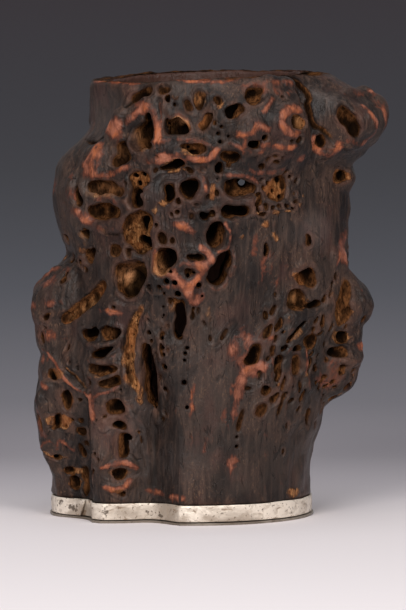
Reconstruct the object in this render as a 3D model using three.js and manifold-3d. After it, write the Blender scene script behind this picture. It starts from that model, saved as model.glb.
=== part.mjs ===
// A brush pot hollowed from a gnarled burl, with a fitted wooden floor and a sheet metal foot.
// Millimetres, +Z up, front towards -Y. The origin lies on the resting face, under the bore.
// Angles are in degrees round the upright axis: 0 is the front, 90 the right, -90 the left.
import * as THREE from 'three';
import { mergeVertices } from 'three/addons/utils/BufferGeometryUtils.js';
import Module from 'manifold-3d';

// Driving dimensions
const potHeight = 160;
const rimRise = 2.5;
const leftReach = 51;
const rightReach = 44.8;
const frontReach = 39;
const backReach = 38;
const boreHalfWidth = 30;
const boreHalfDepth = 25;
const boreFlare = 4;
const boreLean = 6;
const floorThickness = 6;
const floorSeatWidth = 2;
const bandHeight = 6.2;
const bandThickness = 0.9;
const bandProud = 0.3;
const bandLapDegrees = 8;
const bandSeamAngle = -62;
const plateThickness = 0.8;
const plateProud = 0.5;
const fitGap = 0.45;
const restGap = 0.3;

// Fineness of the surfaces
const trunkStepsAround = 80;
const trunkStepsUp = 30;
const boreStepsAround = 32;
const boreStepsUp = 4;
const bandStepsPerTurn = 72;
const holeStepsAround = 8;
const holeStepsDeep = 4;
const weldTolerance = 1e-5;

// Levels
const bandBottom = plateThickness + restGap;
const bandTop = bandBottom + bandHeight;
const woodBottom = plateThickness + restGap;
const floorTop = woodBottom + floorThickness;

// How far the plain trunk reaches at each share of the height, as a share of its reach at the foot
const leftProfile = [
  [0, 1], [0.075, 0.99], [0.19, 1], [0.375, 0.98], [0.594, 0.865], [0.75, 0.83], [0.875, 0.735],
  [0.94, 0.715], [1, 0.722],
];
const rightProfile = [
  [0, 1], [0.125, 0.996], [0.25, 1.116], [0.4375, 1.25], [0.625, 1.295], [0.8125, 1.272],
  [0.9375, 1.205], [1, 1.116],
];
const frontProfile = [[0, 1], [0.25, 0.974], [0.5, 0.949], [0.75, 0.949], [1, 0.923]];
const backProfile = [[0, 1], [0.25, 1.053], [0.5, 1.105], [0.75, 1.105], [1, 1.053]];

// Lumps and hollows of the burl: middle angle, share of the height, half width, half height, bulge,
// and the lean in degrees of those that aren't upright
const lumps = [
  { name: 'left shoulder', angle: -80, height: 0.75, halfWidth: 24, halfHeight: 25.5, bulge: 8.3 },
  { name: 'left knuckle', angle: -86, height: 0.4875, halfWidth: 17, halfHeight: 19, bulge: 11 },
  { name: 'left waist', angle: -84, height: 0.375, halfWidth: 12, halfHeight: 10, bulge: 2.2 },
  { name: 'lower left column', angle: -80, height: 0.25, halfWidth: 20, halfHeight: 28, bulge: 7 },
  { name: 'second column', angle: -42, height: 0.1875, halfWidth: 14, halfHeight: 40, bulge: 3 },
  { name: 'left valley', angle: -64, height: 0.125, halfWidth: 12, halfHeight: 42, bulge: -6 },
  { name: 'front valley', angle: -25, height: 0.1, halfWidth: 14, halfHeight: 60, bulge: -8 },
  { name: 'right ear', angle: 80, height: 0.915, halfWidth: 22, halfHeight: 18.5, bulge: 18.2 },
  { name: 'bulge under the ear', angle: 84, height: 0.79, halfWidth: 10, halfHeight: 9, bulge: 3.4 },
  { name: 'right knuckle', angle: 88, height: 0.475, halfWidth: 13, halfHeight: 15, bulge: 10.3 },
  { name: 'right step', angle: 84, height: 0.35, halfWidth: 13, halfHeight: 14, bulge: 9 },
  { name: 'right step foot', angle: 86, height: 0.29, halfWidth: 9, halfHeight: 7, bulge: 3.2 },
  { name: 'front knob', angle: 40, height: 0.9125, halfWidth: 26, halfHeight: 21, bulge: 10 },
  { name: 'front burl', angle: -5, height: 0.7375, halfWidth: 45, halfHeight: 50, bulge: 4 },
  { name: 'groove by the ear', angle: 60, height: 0.925, halfWidth: 6, halfHeight: 18, bulge: -7, lean: -15 },
  { name: 'cheek by the neck', angle: -43, height: 0.905, halfWidth: 6, halfHeight: 11, bulge: 2.6, lean: 20 },
  { name: 'lobe by the neck', angle: -55, height: 0.83, halfWidth: 8, halfHeight: 9, bulge: 2.8, lean: 10 },
  { name: 'brow over the burl', angle: -8, height: 0.855, halfWidth: 22, halfHeight: 7, bulge: 2, lean: 4 },
  { name: 'swelling of the web', angle: -5, height: 0.57, halfWidth: 14, halfHeight: 12, bulge: 1.8, lean: 20 },
  { name: 'fold of the column', angle: -31, height: 0.3, halfWidth: 5, halfHeight: 28, bulge: 2.2, lean: 6 },
  { name: 'back burl', angle: 165, height: 0.62, halfWidth: 34, halfHeight: 40, bulge: 7, lean: 10 },
  { name: 'back left knuckle', angle: -130, height: 0.35, halfWidth: 18, halfHeight: 22, bulge: 8 },
  { name: 'back right knuckle', angle: 125, height: 0.3, halfWidth: 17, halfHeight: 20, bulge: 7 },
  { name: 'back crown', angle: -150, height: 0.86, halfWidth: 20, halfHeight: 18, bulge: 6 },
  { name: 'back valley', angle: 178, height: 0.12, halfWidth: 12, halfHeight: 50, bulge: -5 },
];
const lumpSoftness = 1.3;

// Knot holes: angle, height in millimetres, half width, half height, depth, lean in degrees
const knotHoles = [
  [26.5, 122.5, 7.8, 3.7, 18, 0], [15.5, 93, 4.1, 7, 17, 22], [14.5, 105.5, 3.6, 5, 9, 0],
  [-5.5, 74, 2.7, 7.6, 16, 0], [-24.5, 54, 2.7, 12.4, 17, -8], [-32, 89.5, 7.4, 7, 10, 0],
  [-28, 107.5, 6.4, 7.6, 8, 0], [-13.5, 96, 4.5, 6, 7, 0], [-26, 141.5, 5.6, 6.4, 10, 0],
  [-6, 145, 4.7, 4.5, 7, 0], [-38.5, 133.5, 4.8, 4.6, 6, 0], [-49, 122, 8.4, 3.7, 6, 0],
  [-47.5, 113.5, 8.4, 3.4, 6, 0], [-27.5, 118.5, 3, 3.8, 6, 0], [-26.5, 125.5, 4.5, 3.7, 4, 0],
  [2, 137, 5, 2.4, 3.5, 0], [-9, 131, 4.6, 2.4, 4, -20], [0, 122.5, 3.9, 3.3, 6, 0],
  [19.5, 134, 4.7, 2.2, 4.5, 0], [23.5, 114, 5.5, 3, 6, 0], [21, 151, 2.1, 4.2, 5, 45],
  [31.5, 157, 2.4, 5.2, 5, 45], [28.5, 138.8, 3.2, 2.5, 6, 0], [48, 147.5, 2.9, 3.2, 3.5, 0],
  [66.5, 146, 4.6, 6.4, 8, -20], [77.5, 125, 4, 3, 3, 0], [-58, 97, 3.8, 2.8, 5, 0],
  [60, 89, 5.6, 4.6, 7, 0], [56, 80.5, 4.5, 4.1, 5, 0], [63, 78.5, 4.4, 1.9, 3.5, 0],
  [54.5, 68.5, 2.4, 4.2, 4, 45], [46.5, 58.5, 2.3, 3.8, 4, 35], [56.5, 57, 2.8, 4.6, 3, 0],
  [33.5, 60.5, 2.6, 4.8, 5, 50], [76, 61, 3.8, 2.8, 6, 20], [78.5, 66, 3.6, 2.7, 3, 0],
  [78, 79, 3, 8.5, 3, 8], [-59, 80, 2.6, 13, 4, 52], [-55.5, 68, 4.5, 2.8, 5, 0],
  [-44.5, 69, 4, 3.2, 5, 0], [-47.5, 62, 2.3, 6, 5, 65], [-48.5, 56, 5.6, 2.6, 5, 0],
  [-42.5, 51.5, 4.4, 2.2, 4.5, -10], [-39.5, 42.5, 3.5, 3.2, 5, 0], [-36.5, 28.5, 2.8, 5.6, 5, -5],
  [-38.5, 18, 4.6, 2.3, 3.5, 0], [-66, 44, 3.8, 4.6, 5, -10], [-70, 35.5, 4.8, 3.4, 3.5, 0],
  [-66, 25, 2.1, 3.6, 4, 0], [-73, 12.8, 3.2, 3.2, 4, 10], [-65.5, 15.8, 3, 5.8, 4, -10],
  [154.5, 117, 4.5, 3.4, 18, 0], [140, 134, 3, 2.6, 16, 0], [172, 96, 6.5, 8, 10, 15],
  [-168, 126, 6, 4.5, 8, 0], [150, 80, 5, 5, 8, 0], [-150, 100, 7, 5, 9, -20],
  [-128, 120, 5, 6, 8, 0], [120, 105, 6, 4, 8, 10], [-140, 60, 4, 8, 8, 0],
  [130, 52, 5, 4, 7, 0], [168, 52, 3, 9, 9, 5], [-115, 84, 5, 4, 7, 0],
  [-105, 132, 5, 5, 7, 0], [110, 70, 4, 6, 7, 0], [-122, 34, 4, 5, 7, 0],
  [108, 28, 3, 4, 5, 0], [-172, 30, 4, 5, 6, 0], [-155, 144, 5, 3.6, 7, 0],
];

// Finishes
const darkWood = new THREE.MeshStandardMaterial({ color: 0x463a39, roughness: 0.55, metalness: 0 });
const floorWood = new THREE.MeshStandardMaterial({ color: 0x5a4233, roughness: 0.7, metalness: 0 });
const silverySheet = new THREE.MeshStandardMaterial({ color: 0xd9c8b4, roughness: 0.45, metalness: 0.6 });

const toRadians = Math.PI / 180;
const fullTurn = 360;
const halfTurn = fullTurn / 2;
const solids = await Module();
solids.setup();

// A smooth curve through [share, value] points, with slopes from each point's neighbours.
function along(points, share) {
  const last = points.length - 1;
  let i = 0;
  while (i < last - 1 && share > points[i + 1][0]) i += 1;
  const slope = (k) => {
    const before = points[Math.max(k - 1, 0)];
    const after = points[Math.min(k + 1, last)];
    return (after[1] - before[1]) / (after[0] - before[0]);
  };
  const [start, startValue] = points[i];
  const [end, endValue] = points[i + 1];
  const span = end - start;
  const t = THREE.MathUtils.clamp((share - start) / span, 0, 1);
  const t2 = t * t;
  const t3 = t2 * t;
  return (2 * t3 - 3 * t2 + 1) * startValue + (t3 - 2 * t2 + t) * span * slope(i)
    + (3 * t2 - 2 * t3) * endValue + (t3 - t2) * span * slope(i + 1);
}

// The smaller turn between two angles, in degrees, from -180 to 180.
function turnBetween(angle, middle) {
  const turn = (angle - middle) % fullTurn;
  if (turn > halfTurn) return turn - fullTurn;
  return turn < -halfTurn ? turn + fullTurn : turn;
}

// Radius of the plain trunk: four quarter ellipses that share one height.
function plainRadius(angle, share) {
  const side = Math.sin(angle * toRadians);
  const fore = Math.cos(angle * toRadians);
  const across = side > 0
    ? rightReach * along(rightProfile, share) : leftReach * along(leftProfile, share);
  const deep = fore > 0
    ? frontReach * along(frontProfile, share) : backReach * along(backProfile, share);
  return 1 / Math.hypot(side / across, fore / deep);
}

// What one lump adds to the radius: bulge times (1 - d squared) to a power, with d the distance
// from its middle in half widths and half heights.
function lumpAt(lump, angle, height) {
  const middleHeight = lump.height * potHeight;
  const arc = turnBetween(angle, lump.angle) * toRadians * plainRadius(lump.angle, lump.height);
  const rise = height - middleHeight;
  const lean = (lump.lean ?? 0) * toRadians;
  const u = (arc * Math.cos(lean) - rise * Math.sin(lean)) / lump.halfWidth;
  const v = (arc * Math.sin(lean) + rise * Math.cos(lean)) / lump.halfHeight;
  return lump.bulge * Math.max(1 - u * u - v * v, 0) ** lumpSoftness;
}

// Radius of the burl's outside at an angle and a height.
function trunkRadius(angle, height) {
  const share = THREE.MathUtils.clamp(height / potHeight, 0, 1);
  return lumps.reduce((radius, lump) => radius + lumpAt(lump, angle, height), plainRadius(angle, share));
}

// The foot's outline is the trunk's at the middle of the band.
const footRadius = (angle) => trunkRadius(angle, (bandBottom + bandTop) / 2);
const bandOuterRadius = (angle) => footRadius(angle) + bandProud;
const rebateRadius = (angle) => bandOuterRadius(angle) - bandThickness - fitGap;
const rimHeight = (angle) => potHeight + rimRise * (1 + Math.sin(angle * toRadians)) / 2;

function pointAt(angle, radius, height, shift = 0) {
  const turn = angle * toRadians;
  return new THREE.Vector3(shift + radius * Math.sin(turn), -radius * Math.cos(turn), height);
}

// A closed body through a row of rings, each with the same count of points, that run
// anticlockwise round the way from the first ring to the last.
function bodyThrough(rings) {
  const around = rings[0].length;
  const middle = (ring) => ring.reduce((sum, point) => sum.add(point), new THREE.Vector3()).divideScalar(around);
  const points = rings.flat();
  const first = points.push(middle(rings[0])) - 1;
  const last = points.push(middle(rings[rings.length - 1])) - 1;
  const faces = [];
  const top = (rings.length - 1) * around;
  for (let j = 0; j < around; j += 1) {
    const next = (j + 1) % around;
    for (let i = 0; i < rings.length - 1; i += 1) {
      const low = i * around;
      const high = low + around;
      faces.push(low + j, low + next, high + next, low + j, high + next, high + j);
    }
    faces.push(first, next, j, last, top + j, top + next);
  }
  const geometry = new THREE.BufferGeometry().setFromPoints(points);
  geometry.setIndex(faces);
  return geometry;
}

// A ring of points at one level, from a radius for each angle.
function ringAt(count, radiusAt, heightAt, shift = 0) {
  return Array.from({ length: count }, (_, k) => {
    const angle = (fullTurn * k) / count;
    return pointAt(angle, radiusAt(angle), heightAt(angle), shift);
  });
}

function solidOf(geometry) {
  const plain = geometry.clone();
  plain.deleteAttribute('normal');
  plain.deleteAttribute('uv');
  const merged = mergeVertices(plain, weldTolerance);
  return new solids.Manifold(new solids.Mesh({
    numProp: 3,
    vertProperties: new Float32Array(merged.attributes.position.array),
    triVerts: new Uint32Array(merged.index.array),
  }));
}

function geometryOf(solid) {
  const mesh = solid.getMesh();
  const geometry = new THREE.BufferGeometry();
  geometry.setAttribute('position', new THREE.BufferAttribute(mesh.vertProperties, mesh.numProp));
  geometry.setIndex(new THREE.BufferAttribute(mesh.triVerts, 1));
  geometry.computeVertexNormals();
  return geometry;
}

// The bore: an oval that leans to the right and flares towards the rim.
function boreRadius(angle, share, extra = 0) {
  const across = boreHalfWidth + boreFlare * share + extra;
  const deep = boreHalfDepth + boreFlare * share + extra;
  return 1 / Math.hypot(Math.sin(angle * toRadians) / across, Math.cos(angle * toRadians) / deep);
}

function boreTool() {
  const overshoot = 5;
  const ring = (height, extra) => {
    const share = THREE.MathUtils.clamp(height / potHeight, 0, 1);
    return ringAt(boreStepsAround, (angle) => boreRadius(angle, share, extra), () => height, boreLean * share);
  };
  const top = potHeight + rimRise + overshoot;
  const seatTop = floorTop + restGap;
  const rings = [ring(woodBottom - overshoot, floorSeatWidth), ring(seatTop, floorSeatWidth)];
  for (let step = 0; step <= boreStepsUp; step += 1) {
    rings.push(ring(seatTop + ((top - seatTop) * step) / boreStepsUp, 0));
  }
  return bodyThrough(rings);
}

// One knot hole: an egg on the surface whose depth points at the pot's axis.
function knotHoleTool([angle, height, halfWidth, halfHeight, depth, lean]) {
  const egg = new THREE.SphereGeometry(1, holeStepsAround, holeStepsDeep);
  egg.rotateX(Math.PI / 2);
  egg.scale(halfWidth, halfHeight, depth);
  egg.rotateZ(-lean * toRadians);
  const outward = pointAt(angle, 1, 0);
  const right = new THREE.Vector3(0, 0, 1).cross(outward);
  const place = new THREE.Matrix4().makeBasis(right, new THREE.Vector3(0, 0, 1), outward);
  place.setPosition(pointAt(angle, trunkRadius(angle, height), height));
  return egg.applyMatrix4(place);
}

function burlTrunk() {
  const shoulder = bandTop + restGap;
  const rings = [
    ringAt(trunkStepsAround, rebateRadius, () => woodBottom),
    ringAt(trunkStepsAround, rebateRadius, () => shoulder),
  ];
  for (let step = 0; step <= trunkStepsUp; step += 1) {
    const heightAt = (angle) => shoulder + ((rimHeight(angle) - shoulder) * step) / trunkStepsUp;
    rings.push(ringAt(trunkStepsAround, (angle) => trunkRadius(angle, heightAt(angle)), heightAt));
  }
  let trunk = solidOf(bodyThrough(rings)).subtract(solidOf(boreTool()));
  for (const hole of knotHoles) trunk = trunk.subtract(solidOf(knotHoleTool(hole)));
  return geometryOf(trunk);
}

// The floor drops into the seat under the bore, with a working gap all round.
function floorPlug() {
  const radiusAt = (angle) => boreRadius(angle, 0, floorSeatWidth - fitGap);
  const ring = (height) => ringAt(boreStepsAround, radiusAt, () => height);
  return bodyThrough([ring(woodBottom), ring(floorTop)]);
}

// The band is one strip bent round the foot. Its last end rides over its first at the seam.
function footBand() {
  const start = bandSeamAngle - bandLapDegrees;
  const end = bandSeamAngle + fullTurn;
  const liftStart = end - 2 * bandLapDegrees;
  const liftEnd = end - bandLapDegrees;
  const steps = Math.round((bandStepsPerTurn * (end - start)) / fullTurn);
  const rings = Array.from({ length: steps + 1 }, (_, k) => {
    const angle = start + ((end - start) * k) / steps;
    const lift = (bandThickness + fitGap) * THREE.MathUtils.smoothstep(angle, liftStart, liftEnd);
    const outer = bandOuterRadius(angle) + lift;
    const inner = outer - bandThickness;
    return [
      pointAt(angle, inner, bandTop), pointAt(angle, outer, bandTop),
      pointAt(angle, outer, bandBottom), pointAt(angle, inner, bandBottom),
    ];
  });
  return bodyThrough(rings);
}

// The sole plate carries the wood and the band, and is the face that the pot rests on.
function solePlate() {
  const radiusAt = (angle) => bandOuterRadius(angle) + plateProud;
  const ring = (height) => ringAt(bandStepsPerTurn, radiusAt, () => height);
  return bodyThrough([ring(0), ring(plateThickness)]);
}

const group = new THREE.Group();
function add(name, geometry, material) {
  const mesh = new THREE.Mesh(geometry, material);
  mesh.name = name;
  group.add(mesh);
}
add('burl_trunk', burlTrunk(), darkWood);
add('floor_plug', floorPlug(), floorWood);
add('foot_band', footBand(), silverySheet);
add('sole_plate', solePlate(), silverySheet);

export default group;
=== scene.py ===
import math
import bpy
import numpy as np
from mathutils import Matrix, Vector


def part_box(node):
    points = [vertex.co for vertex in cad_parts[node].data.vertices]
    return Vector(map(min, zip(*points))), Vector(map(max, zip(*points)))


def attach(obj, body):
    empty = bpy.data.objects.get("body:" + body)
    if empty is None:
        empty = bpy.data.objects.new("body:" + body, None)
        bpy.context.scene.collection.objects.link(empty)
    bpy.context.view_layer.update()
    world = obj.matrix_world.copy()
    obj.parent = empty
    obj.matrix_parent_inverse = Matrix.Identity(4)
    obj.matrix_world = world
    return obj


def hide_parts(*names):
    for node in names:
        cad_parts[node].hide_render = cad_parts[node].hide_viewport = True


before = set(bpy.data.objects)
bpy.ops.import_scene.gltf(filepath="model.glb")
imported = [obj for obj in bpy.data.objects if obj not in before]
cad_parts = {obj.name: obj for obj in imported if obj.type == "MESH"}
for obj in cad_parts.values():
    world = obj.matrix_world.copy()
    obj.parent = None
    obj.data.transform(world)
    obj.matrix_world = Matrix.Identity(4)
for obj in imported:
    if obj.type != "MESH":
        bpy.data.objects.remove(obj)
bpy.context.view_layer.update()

# Everything about the pot below is in millimetres and degrees, and becomes metres in the mesh.
# Angles go round the upright axis: 0 is the front, 90 the right, -90 the left and 180 the back.
METRES = 0.001
FULL_TURN = 360.0

# The trunk's size and section, as the solid frame has them
POT_HEIGHT = 160.0
RIM_RISE = 2.5
LEFT_REACH = 51.0
RIGHT_REACH = 44.8
FRONT_REACH = 39.0
BACK_REACH = 38.0
BORE_HALF_WIDTH = 30.0
BORE_HALF_DEPTH = 25.0
BORE_FLARE = 4.0
BORE_LEAN = 6.0
FLOOR_THICKNESS = 6.0
FLOOR_SEAT_WIDTH = 2.0
BAND_HEIGHT = 6.2
BAND_THICKNESS = 0.9
BAND_PROUD = 0.3
BAND_LAP = 8.0
BAND_SEAM_ANGLE = -62.0
PLATE_THICKNESS = 0.8
FIT_GAP = 0.45
REST_GAP = 0.3
BAND_BOTTOM = PLATE_THICKNESS + REST_GAP
BAND_TOP = BAND_BOTTOM + BAND_HEIGHT
WOOD_BOTTOM = PLATE_THICKNESS + REST_GAP
SEAT_TOP = WOOD_BOTTOM + FLOOR_THICKNESS + REST_GAP

# Reach of the plain trunk at each share of the height, as a share of its reach at the foot
LEFT_PROFILE = (
    (0, 1), (0.075, 0.99), (0.19, 1), (0.375, 0.98), (0.594, 0.865), (0.75, 0.83), (0.875, 0.735),
    (0.94, 0.715), (1, 0.722),
)
RIGHT_PROFILE = (
    (0, 1), (0.125, 0.996), (0.25, 1.116), (0.4375, 1.25), (0.625, 1.295), (0.8125, 1.272),
    (0.9375, 1.205), (1, 1.116),
)
FRONT_PROFILE = ((0, 1), (0.25, 0.974), (0.5, 0.949), (0.75, 0.949), (1, 0.923))
BACK_PROFILE = ((0, 1), (0.25, 1.053), (0.5, 1.105), (0.75, 1.105), (1, 1.053))

# Lumps and valleys: angle, share of the height, half width, half height, bulge, lean
LUMPS = {
    "left shoulder": (-80, 0.75, 24, 25.5, 8.3, 0),
    "left knuckle": (-86, 0.4875, 17, 19, 11, 0),
    "left waist": (-84, 0.375, 12, 10, 2.2, 0),
    "lower left column": (-80, 0.25, 20, 28, 7, 0),
    "second column": (-42, 0.1875, 14, 40, 3, 0),
    "left valley": (-64, 0.125, 12, 42, -6, 0),
    "front valley": (-25, 0.1, 14, 60, -8, 0),
    "right ear": (80, 0.915, 22, 18.5, 18.2, 0),
    "bulge under the ear": (84, 0.79, 10, 9, 3.4, 0),
    "right knuckle": (88, 0.475, 13, 15, 10.3, 0),
    "right step": (84, 0.35, 13, 14, 9, 0),
    "right step foot": (86, 0.29, 9, 7, 3.2, 0),
    "front knob": (40, 0.9125, 26, 21, 10, 0),
    "front burl": (-5, 0.7375, 45, 50, 4, 0),
    "groove by the ear": (60, 0.925, 6, 18, -7, -15),
    "cheek by the neck": (-43, 0.905, 6, 11, 2.6, 20),
    "lobe by the neck": (-55, 0.83, 8, 9, 2.8, 10),
    "brow over the burl": (-8, 0.855, 22, 7, 2, 4),
    "swelling of the web": (-5, 0.57, 14, 12, 1.8, 20),
    "fold of the column": (-31, 0.3, 5, 28, 2.2, 6),
    "back burl": (165, 0.62, 34, 40, 7, 10),
    "back left knuckle": (-130, 0.35, 18, 22, 8, 0),
    "back right knuckle": (125, 0.3, 17, 20, 7, 0),
    "back crown": (-150, 0.86, 20, 18, 6, 0),
    "back valley": (178, 0.12, 12, 50, -5, 0),
}
LUMP_SOFTNESS = 1.3

# Small bumps: angle, height, half width, half height, bulge, lean
BUMPS = {
    "shoulder top": (-86, 130.5, 14, 5.5, 1.6, 0),
    "shoulder notch": (-84, 141.5, 14, 4, -1.4, 0),
    "knuckle top": (-86, 83, 10, 4.5, 1.2, 0),
    "right flank": (88, 118, 9, 10, 1.2, 0),
    "red bump": (-2, 108.5, 5, 2.6, 1.0, 20),
    "lens lump": (-4, 136.5, 13, 3.5, 0.8, 0),
    "under the arch": (-30, 137, 4, 4, 0.8, 0),
    "between the hollows": (-20, 119, 5, 6, 1.0, 0),
    "over the cavity": (-33, 117, 6, 3, 0.9, 0),
    "beside the large hollow": (-46, 92, 6, 6, 1.2, 0),
    "under the egg": (12, 83, 6, 4, 0.9, 0),
    "knob cheek": (38, 148, 8, 7, 1.2, 0),
    "knob brow": (24, 148, 5, 6, 0.9, 20),
    "lens": (-42, 78, 7, 3, 1.4, 0),
    "orange knob": (88, 61.5, 4.5, 2.6, 2.0, 0),
    "ear tip": (84, 150, 7, 6, 1.0, 0),
    "pale swelling": (62, 108, 9, 9, 0.9, 0),
    "swelling by the leaf": (27, 64, 5, 5, 0.8, 0),
    "left column head": (-76, 44, 6, 9, 1.0, 0),
    "boss in the ring": (-38.5, 18.5, 1.4, 1.1, 1.2, 0),
    "neck dip": (-56, 150, 12, 9, -1.4, 0),
    "dip over the egg": (22, 98, 4, 12, -0.6, 20),
}

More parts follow.
